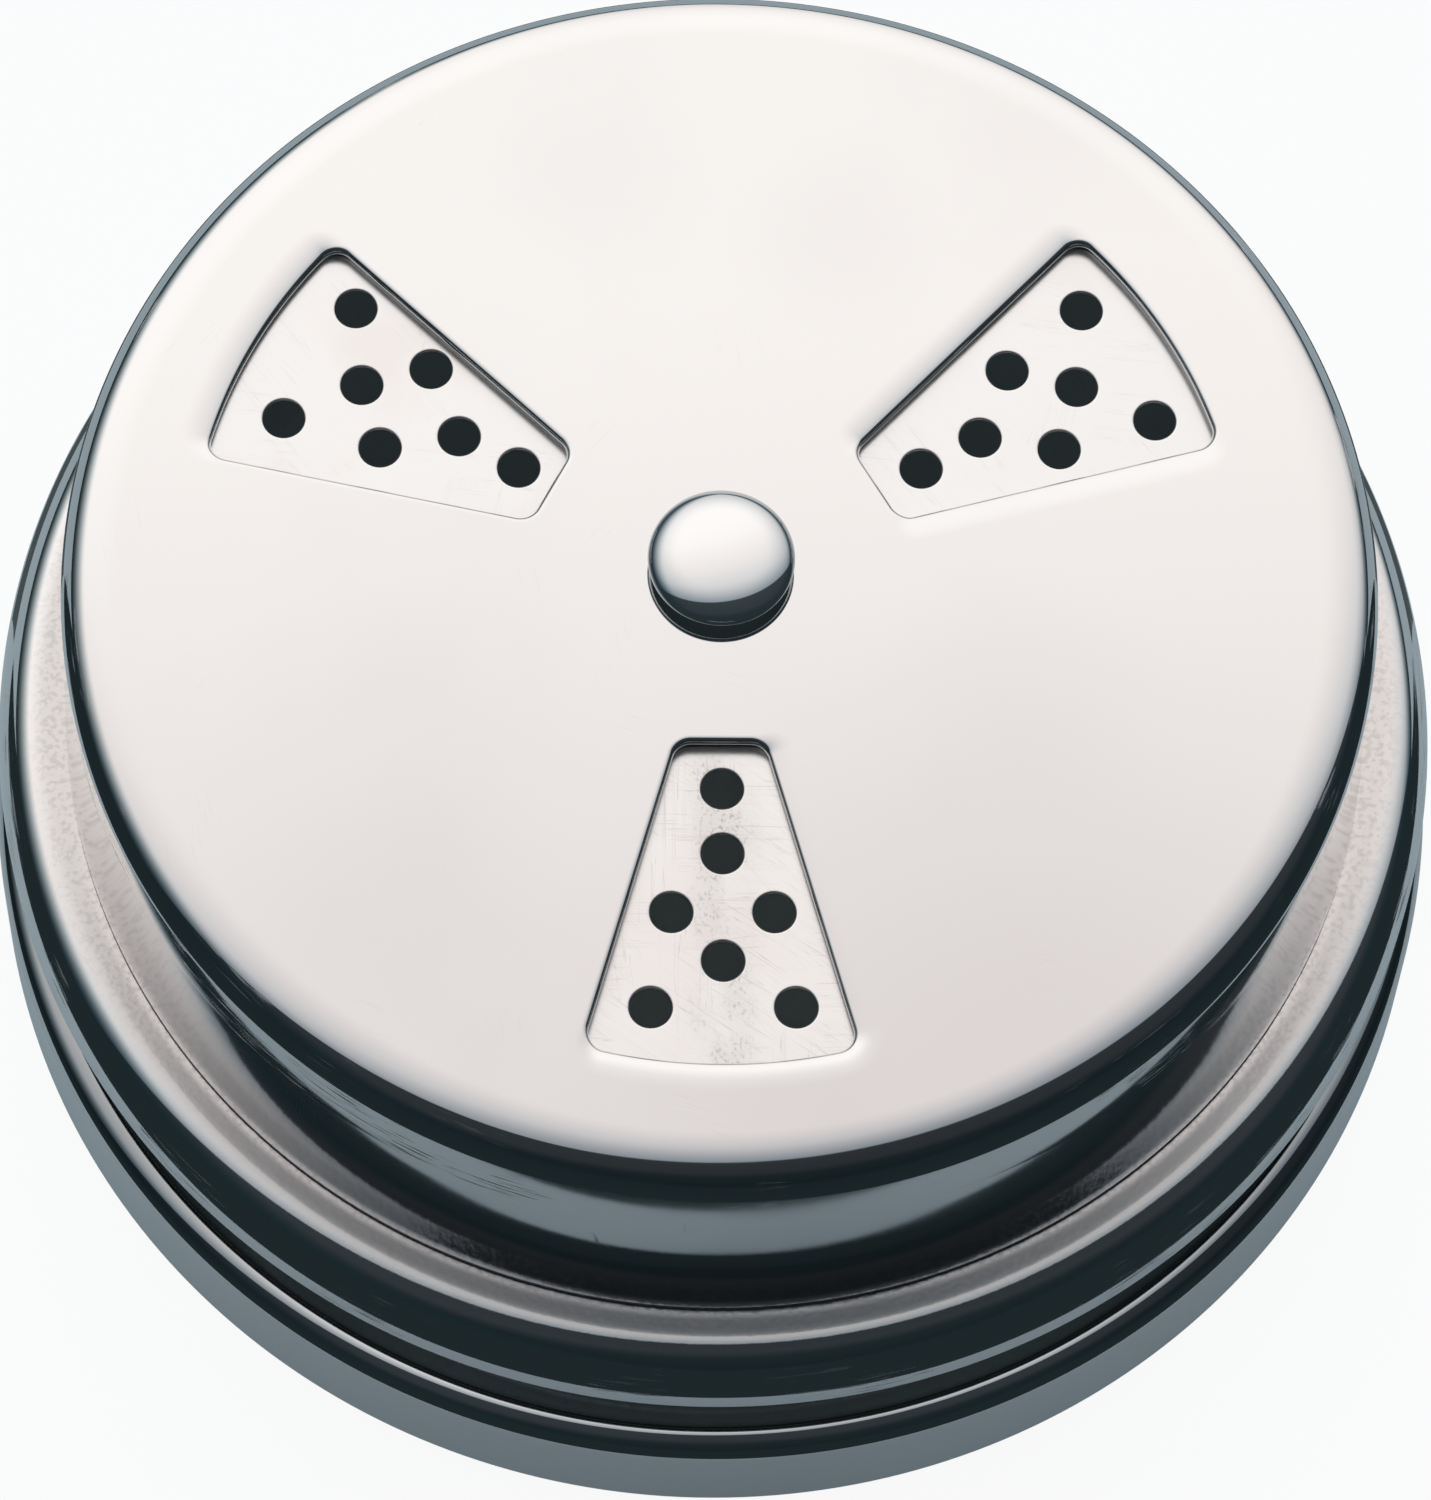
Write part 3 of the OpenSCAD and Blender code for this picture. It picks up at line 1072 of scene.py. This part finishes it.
def weld(name: str, parts: Sequence[Mesh], finish: Material) -> Object:
    """Welds meshes into one closed piece with its faces outwards.

    Args:
        name: the piece's name.
        parts: the meshes, in metres.
        finish: the material.

    Returns:
        The piece, at the origin.
    """
    work = bmesh.new()
    for part in parts:
        work.from_mesh(part)
        bpy.data.meshes.remove(part)
    bmesh.ops.remove_doubles(work, verts=work.verts, dist=WELD_DISTANCE)
    bmesh.ops.recalc_face_normals(work, faces=work.faces)
    if work.calc_volume(signed=True) < 0:
        bmesh.ops.reverse_faces(work, faces=work.faces)
    open_edges = sum(1 for e in work.edges if len(e.link_faces) != 2)
    for polygon in work.faces:
        polygon.smooth = True
        polygon.material_index = 0
    mesh = bpy.data.meshes.new(name)
    work.to_mesh(mesh)
    work.free()
    mesh.set_sharp_from_angle(angle=math.radians(SHARP))
    mesh.materials.clear()
    mesh.materials.append(finish)
    LOG.info("%s: %d faces, %d open edges", name, len(mesh.polygons), open_edges)
    return add_object(name, mesh)


def seat(piece: Object, node: str, body: Body) -> None:
    """Puts a piece in its node's stead.

    Args:
        piece: the piece.
        node: the node that it stands for.
        body: the body that carries it.
    """
    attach(piece, body.value)
    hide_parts(node)


@dataclass
class Container:
    """The low cup: wide base, rounded shoulder and the neck under the lid."""

    base_r: float = 40.0
    base_h: float = 9.0
    foot_round: float = 1.5
    shoulder_round: float = 1.5
    neck_root: float = 1.5
    sheet: float = 0.8
    panel_r: float = 33.0
    panel_rise: float = 0.5
    panel_edge: float = 0.3
    panel_foot: float = 0.2
    neck_r: float = 32.7
    neck_top: float = 34.3
    groove_r: float = 32.4
    groove_z: float = 27.0
    groove_round: float = 0.8

    def section(self) -> Outline:
        """The wall from the middle of the underside to the middle of the floor.

        Returns:
            The section.
        """
        out = Outline().start(0, self.panel_rise)
        self.draw_outside(out)
        self.draw_inside(out)
        return out

    def draw_outside(self, out: Outline) -> None:
        """Draws the underside, the base, the neck with its groove, and the mouth's edge.

        Args:
            out: the section, drawn further.
        """
        edge, foot = self.panel_edge, self.panel_foot
        out.line(self.panel_r - edge, self.panel_rise)
        out.arc(self.panel_r - edge, self.panel_rise - edge, edge, 90, 0, 15)
        out.line(self.panel_r, foot).arc(self.panel_r + foot, foot, foot, 180, 270, 15)
        low, top, root = self.foot_round, self.shoulder_round, self.neck_root
        out.line(self.base_r - low, 0).arc(self.base_r - low, low, low, -90, 0)
        out.line(self.base_r, self.base_h - top)
        out.arc(self.base_r - top, self.base_h - top, top, 0, 90)
        out.line(self.neck_r + root, self.base_h)
        out.arc(self.neck_r + root, self.base_h + root, root, 270, 180)
        half = math.degrees(math.acos((self.neck_r - self.groove_r) / self.groove_round))
        drop = self.groove_round * math.sin(math.radians(half))
        out.line(self.neck_r, self.groove_z - drop)
        out.arc(self.groove_r, self.groove_z, self.groove_round, -half, half - 360, 8)
        lip = self.sheet / 2
        out.line(self.neck_r, self.neck_top - lip)
        out.arc(self.neck_r - lip, self.neck_top - lip, lip, 0, 180, 15)

    def draw_inside(self, out: Outline) -> None:
        """Draws the inside, a sheet's thickness from the outside, down to the floor.

        Args:
            out: the section, drawn further.
        """
        t = self.sheet
        inner, ceiling, wall = self.neck_r - t, self.base_h - t, self.base_r - t
        groove, root = self.groove_round + t, self.neck_root + t
        top, low, floor = self.shoulder_round - t, self.foot_round - t, t + self.panel_rise
        swing = math.degrees(math.acos((self.groove_r - inner) / groove))
        out.line(inner, self.groove_z + groove * math.sin(math.radians(swing)))
        out.arc(self.groove_r, self.groove_z, groove, 180 - swing, 180 + swing, 8)
        out.line(inner, ceiling + root).arc(inner + root, ceiling + root, root, 180, 270)
        out.line(wall - top, ceiling).arc(wall - top, ceiling - top, top, 90, 0)
        out.line(wall, t + low).arc(wall - low, t + low, low, 0, -90)
        out.line(self.panel_r + t, t).line(self.panel_r + t, floor).line(0, floor)

    def build(self, turning: Turning) -> Object:
        """Builds and dresses the cup."""
        finish = CupSteel().material()
        return weld("container_cup", [turning.turn(self.section(), finish)], finish)


@dataclass
class WindowRing:
    """The windows' shared outline, where each one sits, and how wide its edges roll over."""

    inner: float = 10.0
    r_out: float = 27.9
    half_angle: float = 15.8
    apex: float = 1.83
    corner: float = 1.0
    arc_count: int = 28
    corner_count: int = 12
    side_count: int = 10
    angles: tuple[float, float, float] = (-90.3, 30.5, 151.9)
    shifts: tuple[float, float, float] = (0.1, -0.33, 0.22)
    lips: tuple[dict[Edge, float], ...] = (
        {Edge.OUTER: 1.6, Edge.LEFT_TURN: 1.5, Edge.INNER: 0.45, Edge.RIGHT_TURN: 0.5},
        {Edge.OUTER: 0.45, Edge.LEFT_TURN: 1.5, Edge.INNER: 0.45, Edge.RIGHT_TURN: 1.5},
        {Edge.OUTER: 1.6, Edge.LEFT_TURN: 0.45, Edge.INNER: 0.45, Edge.RIGHT_TURN: 0.45},
    )

    def corners(self) -> tuple[Point, Point]:
        """The centres of the two corner arcs on the side that turns left.

        Returns:
            The outer and the inner centre, with the window's middle along +X.
        """
        c, half = self.corner, math.radians(self.half_angle)
        cos, sin = math.cos(half), math.sin(half)
        apex = self.apex + c / sin
        inner = (self.inner + c - apex) / cos
        outer = math.sqrt((self.r_out - c) ** 2 - (apex * sin) ** 2) - apex * cos
        return tuple((apex + along * cos, along * sin) for along in (outer, inner))

    def trace(self, window: int) -> list[tuple[float, float, float, float, float]]:
        """Goes once round one window.

        Args:
            window: the window's number.

        Returns:
            For each point x, y, the direction into the sheet, and the lip's width.
        """
        c, turn, lips = self.corner, self.half_angle + 90, self.lips[window]
        outer, inner = self.corners()
        low_outer, low_inner = (outer[0], -outer[1]), (inner[0], -inner[1])
        middle, end = (0.0, 0.0), math.degrees(math.atan2(outer[1], outer[0]))
        out, left, inn, right = Edge.OUTER, Edge.LEFT_TURN, Edge.INNER, Edge.RIGHT_TURN
        long, bend, side = self.arc_count, self.corner_count, self.side_count
        # Each stretch: the centre, the radius, the facing and the edge at its two ends.
        stretches = (
            (long, self.r_out, middle, middle, -end, end, out, out),
            (bend, c, outer, outer, end, turn, out, left),
            (side, c, outer, inner, turn, turn, left, left),
            (bend, c, inner, inner, turn, 180, left, inn),
            (side, c, inner, low_inner, 180, 180, inn, inn),
            (bend, c, low_inner, low_inner, 180, 360 - turn, inn, right),
            (side, c, low_inner, low_outer, -turn, -turn, right, right),
            (bend, c, low_outer, low_outer, -turn, -end, right, out),
        )
        angle = math.radians(self.angles[window])
        cos, sin = math.cos(angle), math.sin(angle)
        placed = []
        for count, r, a, b, start, stop, edge, following in stretches:
            for share in (i / count for i in range(count)):
                facing = math.radians(start + (stop - start) * share)
                ease = share * share * (3 - 2 * share)
                lip = lips[edge] + (lips[following] - lips[edge]) * ease
                x = a[0] + (b[0] - a[0]) * share + r * math.cos(facing) + self.shifts[window]
                y = a[1] + (b[1] - a[1]) * share + r * math.sin(facing)
                way = (math.cos(facing + angle), math.sin(facing + angle))
                placed.append((x * cos - y * sin, x * sin + y * cos, *way, lip))
        return placed


@dataclass
class Cover:
    """The turning cover: flat top, rounded edge, skirt with a flared end, drawn windows."""

    radius: float = 35.0
    top: float = 36.7
    low: float = 19.75
    sheet: float = 0.7
    edge_reach: float = 3.0
    edge_crown: float = 4.65
    edge_crown_turn: float = 21.0
    edge_round: float = 2.07
    flare_z: float = 30.4
    flare_round: float = 100.0
    hem_round: float = 0.15
    axle_r: float = 2.05
    axle_segments: int = 48
    lip_roll: float = 4.4
    roll_count: int = 7
    nose_count: int = 21
    windows: WindowRing = field(default_factory=WindowRing)

    def section(self) -> Outline:
        """The skirt's wall, open at the flat of the top and of its underside.

        Returns:
            The section.
        """
        t, crown, q, hem = self.sheet, self.edge_crown, self.edge_round, self.hem_round
        turn = 90 - self.edge_crown_turn
        flat_r, crown_z = self.radius - self.edge_reach, self.top - crown
        q_r = flat_r + (crown - q) * math.cos(math.radians(turn))
        q_z = crown_z + (crown - q) * math.sin(math.radians(turn))
        flare, flare_r = self.flare_round, self.radius + self.flare_round
        hem_z = self.low + hem
        swing = math.degrees(math.asin((self.flare_z - hem_z) / flare))
        back = math.degrees(math.asin((self.flare_z - hem_z) / (flare + t)))
        inner = flare_r - (flare + t) * math.cos(math.radians(back))
        out = Outline().start(flat_r - SUPPORT, self.top)
        out.points.append((flat_r, self.top))
        out.arc(flat_r, crown_z, crown, 90, turn, 3).arc(q_r, q_z, q, turn, 0, 3)
        out.line(q_r + q, self.flare_z)
        out.arc(flare_r, self.flare_z, flare, 180, 180 + swing, 0.5)
        out.arc(out.points[-1][0] - hem, hem_z, hem, 0, -90, 15)
        out.line(inner + hem, self.low).arc(inner + hem, hem_z, hem, 270, 180, 15)
        out.arc(flare_r, self.flare_z, flare + t, 180 + back, 180, 0.5)
        out.line(q_r + q - t, q_z).arc(q_r, q_z, q - t, 0, turn, 4)
        out.arc(flat_r, crown_z, crown - t, turn, 90, 4)
        out.points.append((flat_r - SUPPORT, self.top - t))
        return out

    def lip(self, width: float) -> list[Point]:
        """A lip's section: the sheet rolls over gently and ends in a round nose.

        Args:
            width: how far the roll starts from the window's outline.

        Returns:
            For each point the distance from the outline into the sheet, and the height
            against the top, from the top round the nose to the underside.
        """
        t, roll = self.sheet, self.lip_roll
        nose, under = t / 2, roll - t
        tilt = math.asin((width - nose) / (roll - nose))
        nose_z = (roll - nose) * math.cos(tilt) - roll
        over = np.linspace(0, tilt, self.roll_count)
        round_nose = np.linspace(tilt, tilt + math.pi, self.nose_count)[1:]
        points = [(width + SUPPORT, 0.0)]
        points += [(width - roll * math.sin(a), -roll * (1 - math.cos(a))) for a in over]
        points += [(nose - nose * math.sin(a), nose_z + nose * math.cos(a)) for a in round_nose]
        points += [
            (width - under * math.sin(a), under * math.cos(a) - roll) for a in over[::-1][1:]
        ]
        return points + [(width + SUPPORT, -t)]

    def lip_loops(self, window: int) -> list[list[Spot]]:
        """The lip of one window as loops, from the top face round to the underside.

        Args:
            window: the window's number.

        Returns:
            The loops.
        """
        trace = self.windows.trace(window)
        sections = [self.lip(width) for *_, width in trace]
        loops = []
        for k in range(len(sections[0])):
            loop = []
            for (x, y, nx, ny, _), section in zip(trace, sections):
                away, down = section[k]
                loop.append((x + nx * away, y + ny * away, self.top + down))
            loops.append(loop)
        return loops

    def build(self, turning: Turning) -> Object:
        """Builds and dresses the cover.

        Args:
            turning: the turning group.

        Returns:
            The piece.
        """
        finish = CoverSteel().material()
        under = self.top - self.sheet
        rim = ring_points(self.radius - self.edge_reach - SUPPORT)
        bore = ring_points(self.axle_r, self.axle_segments)
        parts = [turning.turn(self.section(), finish)]
        tops, undersides = [bore], [bore]
        for window in range(len(self.windows.angles)):
            loops = self.lip_loops(window)
            parts.append(band(loops))
            tops.append([p[:2] for p in loops[0]])
            undersides.append([p[:2] for p in loops[-1]])
        parts.append(flat_face(rim, tops, self.top, True))
        parts.append(flat_face(rim, undersides, under, False))
        parts.append(band([at_height(bore, self.top), at_height(bore, under)]))
        return weld("drawn_cover", parts, finish)


@dataclass
class SieveLid:
    """The slip-on lid: perforated plate with a sunk middle, wall, satin ledge, flared rim."""

    top: float = 35.75
    sunk: float = 35.3
    sunk_r: float = 6.4
    sunk_end: float = 8.4
    sheet: float = 0.7
    wall_r: float = 34.0
    edge_round: float = 2.0
    ledge_z: float = 19.6
    ledge_root: float = 0.5
    rim_r: float = 39.4
    rim_z: float = 14.6
    rim_reach: float = 2.5
    rim_drop: float = 3.55
    axle_r: float = 2.05
    hole_r: float = 1.1
    hole_edge: float = 0.16
    hole_flare: float = 0.35
    hole_support: float = 0.02
    hole_segments: int = 40
    hole_edge_count: int = 9
    hole_span: Span = (10.2, 27.7)
    hole_angles: tuple[float, float, float] = (-90.0, 30.0, 150.0)
    singles: tuple[float, ...] = (0.125, 0.335, 0.68)
    pairs: tuple[tuple[float, float], ...] = ((0.535, 7.9), (0.845, 8.7))

    def centres(self) -> list[Point]:
        """The centres of all holes.

        Returns:
            Points in millimetres.
        """
        first, last = self.hole_span
        spots = [(share, 0.0) for share in self.singles]
        spots += [(share, side * angle) for share, angle in self.pairs for side in (-1, 1)]
        found = []
        for start in self.hole_angles:
            for share, angle in spots:
                r, a = first + share * (last - first), math.radians(start + angle)
                found.append((r * math.cos(a), r * math.sin(a)))
        return found

    def section(self) -> Outline:
        """The wall, ledge and rim, open at the flat of the plate and of its underside.

        Returns:
            The section.
        """
        t, q, w, top = self.sheet, self.edge_round, self.wall_r, self.top
        root, reach, drop = self.ledge_root, self.rim_reach, self.rim_drop
        turn_r, turn_z = self.rim_r - reach, self.ledge_z - drop
        inner, ceiling, edge = w - t, self.ledge_z - t, t / 2
        under = root + t
        out = Outline().start(w - q - SUPPORT, top)
        out.points.append((w - q, top))
        out.arc(w - q, top - q, q, 90, 0)
        out.line(w, self.ledge_z + root).arc(w + root, self.ledge_z + root, root, 180, 270, 10)
        out.line(turn_r, self.ledge_z).arc(turn_r, turn_z, reach, 90, 0, 3, drop)
        out.line(self.rim_r, self.rim_z + edge)
        out.arc(self.rim_r - edge, self.rim_z + edge, edge, 0, -180, 15)
        out.line(self.rim_r - t, turn_z).arc(turn_r, turn_z, reach - t, 0, 90, 5, drop - t)
        out.line(inner + under, ceiling)
        out.arc(inner + under, ceiling + under, under, 270, 180, 10)
        out.line(inner, top - q).arc(w - q, top - q, q - t, 0, 90)
        out.points.append((w - q - SUPPORT, top - t))
        return out

    def middle(self) -> Outline:
        """The sunk middle that the washer lies in, round the rivet's bore.

        Returns:
            The section, open where it meets the plate.
        """
        t, sunk = self.sheet, self.sunk
        out = Outline().start(self.sunk_end, self.top)
        out.line(self.sunk_r, sunk).line(self.axle_r, sunk)
        out.line(self.axle_r, sunk - t).line(self.sunk_r, sunk - t)
        return out.line(self.sunk_end, self.top - t)

    def collar(self) -> Mesh:
        """One punched hole about its own axis: rounded edge, and a bore that widens downwards.

        Returns:
            The collar's mesh.
        """
        e, r, t, s = self.hole_edge, self.hole_r, self.sheet, self.hole_support
        wide = r + self.hole_flare
        turns = np.linspace(0, math.pi / 2, self.hole_edge_count)
        loops = [(r + e + SUPPORT, 0.0)]
        loops += [(r + e * (1 - math.sin(a)), -e * (1 - math.cos(a))) for a in turns]
        loops += [(r, -e - SUPPORT), (wide - s, s - t), (wide, -t), (wide + SUPPORT, -t)]
        rings = ((ring_points(away, self.hole_segments), down) for away, down in loops)
        return band([at_height(ring, down) for ring, down in rings])

    def holes(self, r: float) -> list[list[Point]]:
        """The loops that a flat face leaves out: one round every hole, and the sunk middle.

        Args:
            r: the radius of the loops round the holes.

        Returns:
            The loops.
        """
        ring = ring_points(r, self.hole_segments)
        loops = [[(x + cx, y + cy) for x, y in ring] for cx, cy in self.centres()]
        return loops + [ring_points(self.sunk_end)]

    def build(self, turning: Turning, punching: Punching) -> Object:
        """Builds and dresses the lid.

        Args:
            turning: the turning group.
            punching: the punching group.

        Returns:
            The piece.
        """
        finish = SieveSteel().material()
        rim = ring_points(self.wall_r - self.edge_round - SUPPORT)
        upper, lower = (self.hole_r + more + SUPPORT for more in (self.hole_edge, self.hole_flare))
        parts = [
            turning.turn(self.section(), finish),
            punching.punch(self.centres(), self.top, self.collar(), finish),
            turning.turn(self.middle(), finish),
            flat_face(rim, self.holes(upper), self.top, True),
            flat_face(rim, self.holes(lower), self.top - self.sheet, False),
        ]
        return weld("sieve_lid_sheet", parts, finish)


@dataclass
class Rivet:
    """The domed rivet that the cover turns on."""

    shank_r: float = 2.0
    head_r: float = 3.9
    head_h: float = 1.48
    head_edge: float = 0.15
    foot_r: float = 2.7
    foot_low: float = 36.8
    rim_z: float = 37.6
    tail_r: float = 3.2
    tail_h: float = 1.2
    tail_top: float = 33.0

    def section(self) -> Outline:
        """The rivet from the bottom of its tail to the top of its dome.

        Returns:
            The section.
        """
        e, tail_low = self.head_edge, self.tail_top - self.tail_h
        sphere = (self.tail_r**2 + self.tail_h**2) / (2 * self.tail_h)
        swing = math.degrees(math.asin(self.tail_r / sphere))
        out = Outline().start(0, tail_low)
        out.arc(0, tail_low + sphere, sphere, -90, swing - 90, 4)
        out.line(self.shank_r, self.tail_top).line(self.shank_r, self.foot_low)
        out.line(self.foot_r, self.foot_low).line(self.foot_r, self.rim_z)
        out.line(self.head_r - e, self.rim_z)
        out.arc(self.head_r - e, self.rim_z + e, e, -90, 0, 15)
        out.arc(0, self.rim_z + e, self.head_r, 0, 90, 2, self.head_h - e)
        out.points[-1] = (0.0, self.rim_z + self.head_h)
        return out

    def build(self, turning: Turning) -> Object:
        """Builds and dresses the rivet."""
        finish = RivetSteel().material()
        return weld("domed_rivet", [turning.turn(self.section(), finish)], finish)


@dataclass(frozen=True)
class Card:
    """A dark card on the floor that only the metal shows, as a ring sector.

    Its inner edge lies at near in the middle and at near_end at the two ends. The tone is
    what polished steel shows of it. Lengths are millimetres and angles degrees.
    """

    name: str
    middle: float
    half: float
    near: float
    near_end: float
    reach: float
    tone: Colour
    near_power: int = 4
    lift: float = 0.3
    count: int = 72

    def mesh(self) -> Mesh:
        """The card, a hair above the floor.

        Returns:
            The mesh.
        """
        points = []
        for i in range(self.count + 1):
            share = 2 * i / self.count - 1
            turn = math.radians(self.middle + self.half * share)
            near = self.near + (self.near_end - self.near) * share**self.near_power
            for r in (near, self.reach):
                points.append((r * math.cos(turn), r * math.sin(turn), self.lift))
        faces = [(i, i + 1, i + 3, i + 2) for i in range(0, 2 * self.count, 2)]
        return plain_mesh(self.name, points, faces)


@dataclass
class Studio:
    """The pale floor, soft light from above and behind, and dark cards round the floor.

    Tones are what polished steel shows; the light itself is stronger by the steel's share.
    """

    floor_r: float = 1500.0
    floor_drop: float = 0.02
    floor_segments: int = 96
    floor_colour: Colour = (0.62, 0.775, 0.855)
    floor_glow: float = 0.93
    floor_tone: Colour = (0.215, 0.262, 0.290)
    floor_tone_share: float = 0.5
    steel_share: float = 0.72
    light_axis: Spot = (-0.214, 0.8845, 0.4147)
    light_edge: float = 6.5
    low_light: float = 0.72
    low_light_z: Span = (0.62, -0.05)
    low_wall: float = 0.66
    left_wall: float = 0.30
    wall_foot: float = 0.06
    low_tint: Colour = (0.80, 1.0, 1.07)
    lamp_power: float = 2.0
    lamp_size: float = 0.8
    lamp_place: Spot = (0.0, 0.55, 0.9)
    lamp_tilt: float = -31.0
    cards: tuple[Card, ...] = (
        Card("front_card", -90.0, 108.0, 47.1, 85.0, 1700.0, DUSK),
        Card("back_card", 90.0, 72.0, 50.0, 50.0, 72.0, (0.05, 0.065, 0.07)),
    )
    light_steps: tuple[tuple[float, Colour], ...] = (
        (-40.0, DUSK),
        (-25.0, (0.027, 0.034, 0.039)),
        (-0.3, (0.031, 0.038, 0.043)),
        (0.3, (0.270, 0.325, 0.360)),
        (3.0, (0.325, 0.365, 0.400)),
        (8.3, (0.435, 0.465, 0.490)),
        (18.0, (0.655, 0.662, 0.672)),
        (27.7, (0.790, 0.772, 0.766)),
        (37.3, (0.890, 0.858, 0.842)),
        (46.8, (0.950, 0.935, 0.918)),
        (56.0, (0.980, 0.965, 0.950)),
        (80.0, (0.985, 0.970, 0.955)),
    )

    def light_of(self, tone: Colour) -> Colour:
        """The light that polished steel shows as a tone."""
        return tuple(c / self.steel_share for c in tone)

    @staticmethod
    def stage_piece(name: str, mesh: Mesh, finish: Material) -> Object:
        """Adds one object of the stage.

        Args:
            name: its name.
            mesh: its mesh.
            finish: its material.

        Returns:
            The object.
        """
        mesh.materials.append(finish)
        piece = add_object(name, mesh)
        return piece

    def floor(self) -> None:
        """The floor: matt paint, white in the picture, grey in the metal, with a soft shadow."""
        rim = ring_points(self.floor_r, self.floor_segments)
        corners = range(self.floor_segments)
        mesh = plain_mesh("floor", at_height(rim, -self.floor_drop), [corners])
        made, maker = blank_material("floor_paint")
        path = maker.make("ShaderNodeLightPath")
        mirrored = maker.out(path, "Is Glossy Ray").larger(maker.out(path, "Is Transmission Ray"))
        glows = (
            (mirrored * self.floor_tone_share, self.floor_tone),
            (maker.out(path, "Is Camera Ray") * self.floor_glow, WHITE),
        )
        shader = maker.make("ShaderNodeBsdfDiffuse", {"Color": self.floor_colour})
        for share, colour in glows:
            glow = maker.make("ShaderNodeEmission", {"Color": colour, "Strength": 1.0})
            sockets = {0: share, 1: shader.outputs[0], 2: glow.outputs[0]}
            shader = maker.make("ShaderNodeMixShader", sockets)
        maker.make("ShaderNodeOutputMaterial", {"Surface": shader.outputs[0]})
        self.stage_piece("floor", mesh, made)

    def lay(self, card: Card) -> None:
        """Lays one card, which neither the camera nor the floor's paint sees.

        Args:
            card: the card.
        """
        made, maker = blank_material(card.name + "_cloth")
        sockets = {"Color": self.light_of(card.tone), "Strength": 1.0}
        cloth = maker.make("ShaderNodeEmission", sockets)
        maker.make("ShaderNodeOutputMaterial", {"Surface": cloth.outputs[0]})
        piece = self.stage_piece(card.name, card.mesh(), made)
        piece.visible_camera = False
        piece.visible_diffuse = False
        piece.visible_shadow = False

    def room(self) -> None:
        """The soft light: brightest behind and above, dark in front below its edge."""
        world = bpy.data.worlds.new("soft_light")
        bpy.context.scene.world = world
        world.use_nodes = True
        world.node_tree.nodes.clear()
        maker = NodeMaker(world.node_tree)
        x, y, z = maker.axes(maker.out(maker.make("ShaderNodeTexCoord"), "Generated"))
        ax, ay, az = self.light_axis
        height = x * ax + y * ay + z * az
        stops = []
        for angle, tone in self.light_steps:
            place = (math.sin(math.radians(self.light_edge + angle)) + 1) / 2
            stops.append((place, self.light_of(tone)))
        ramp = maker.make("ShaderNodeValToRGB", {0: height * 0.5 + 0.5}, {"stops": stops})
        wall = x.abs() * self.low_wall - x * self.left_wall + self.wall_foot
        lit = (z / wall).step(0.0, 1.0)
        shown = maker.mix_colour(lit, self.light_of(DUSK), maker.out(ramp))
        tint = maker.mix_colour(lit, self.low_tint, WHITE)
        colour = maker.mix_colour(1.0, shown, tint, "MULTIPLY")
        level = 1.0 - z.step(*self.low_light_z) * lit * (1.0 - self.low_light)
        back = maker.make("ShaderNodeBackground", {"Color": colour, "Strength": level})
        maker.make("ShaderNodeOutputWorld", {"Surface": back.outputs[0]})

    def lamp(self) -> None:
        """A soft lamp from behind that brings pale paint to its colour."""
        data = bpy.data.lights.new("soft_lamp", "AREA")
        data.energy = self.lamp_power
        data.size = self.lamp_size
        lamp = add_object("soft_lamp", data)
        tilt = Matrix.Rotation(math.radians(self.lamp_tilt), 4, "X")
        lamp.matrix_world = Matrix.Translation(self.lamp_place) @ tilt
        lamp.visible_glossy = False

    def set_up(self) -> None:
        """Makes the floor, the cards, the light and the lamp."""
        self.floor()
        for card in self.cards:
            self.lay(card)
        self.room()
        self.lamp()
        bpy.context.scene.view_settings.view_transform = "Standard"


@dataclass
class PhotoCamera:
    """The camera, from above and in front, a little turned and rolled."""

    place: Spot = (-0.00841, -0.18147, 0.43165)
    elevation: float = 66.58
    turn: float = -2.7
    roll: float = 2.59
    lens: float = 197.2
    sensor: float = 36.0
    nearest: float = 0.01

    def set_up(self) -> None:
        """Makes the camera and gives it to the scene."""
        data = bpy.data.cameras.new("photo_camera")
        data.lens = self.lens
        data.sensor_width = self.sensor
        data.clip_start = self.nearest
        camera = add_object("photo_camera", data)
        tilt = Matrix.Rotation(math.radians(90 - self.elevation), 4, "X")
        lean = Matrix.Rotation(math.radians(self.roll), 4, "Z")
        turned = Matrix.Rotation(math.radians(self.turn), 4, "Z")
        camera.matrix_world = Matrix.Translation(self.place) @ turned @ tilt @ lean
        bpy.context.scene.camera = camera


def dress_hidden() -> None:
    """Gives the pieces inside the shaker their finishes."""
    finishes = {
        "seal_ring": Moulded("silicone_finish", (0.12, 0.125, 0.13), 0.6),
        "glide_washer": Moulded("plastic_finish", (0.75, 0.75, 0.73), 0.45),
        "cone_spring": TurnedSteel("spring_finish", (0.55, 0.56, 0.57), 0.3),
        "tail_washer": TurnedSteel("washer_finish", (0.6, 0.6, 0.6), 0.35),
    }
    for node, finish in finishes.items():
        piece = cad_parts[node]
        for place in piece.material_slots:
            place.material = finish.material()
        LOG.info("%s dressed", node)


def main() -> None:
    """Builds and dresses everything in order."""
    logging.basicConfig(level=logging.INFO, format="%(name)s: %(message)s")
    PhotoCamera().set_up()
    turning, punching = Turning(), Punching()
    seat(Container().build(turning), "container", Body.CONTAINER)
    seat(SieveLid().build(turning, punching), "sieve_lid", Body.LID)
    seat(Cover().build(turning), "turning_cover", Body.COVER)
    seat(Rivet().build(turning), "pivot_rivet", Body.LID)
    dress_hidden()
    Studio().set_up()


if __name__ == "__main__":
    main()
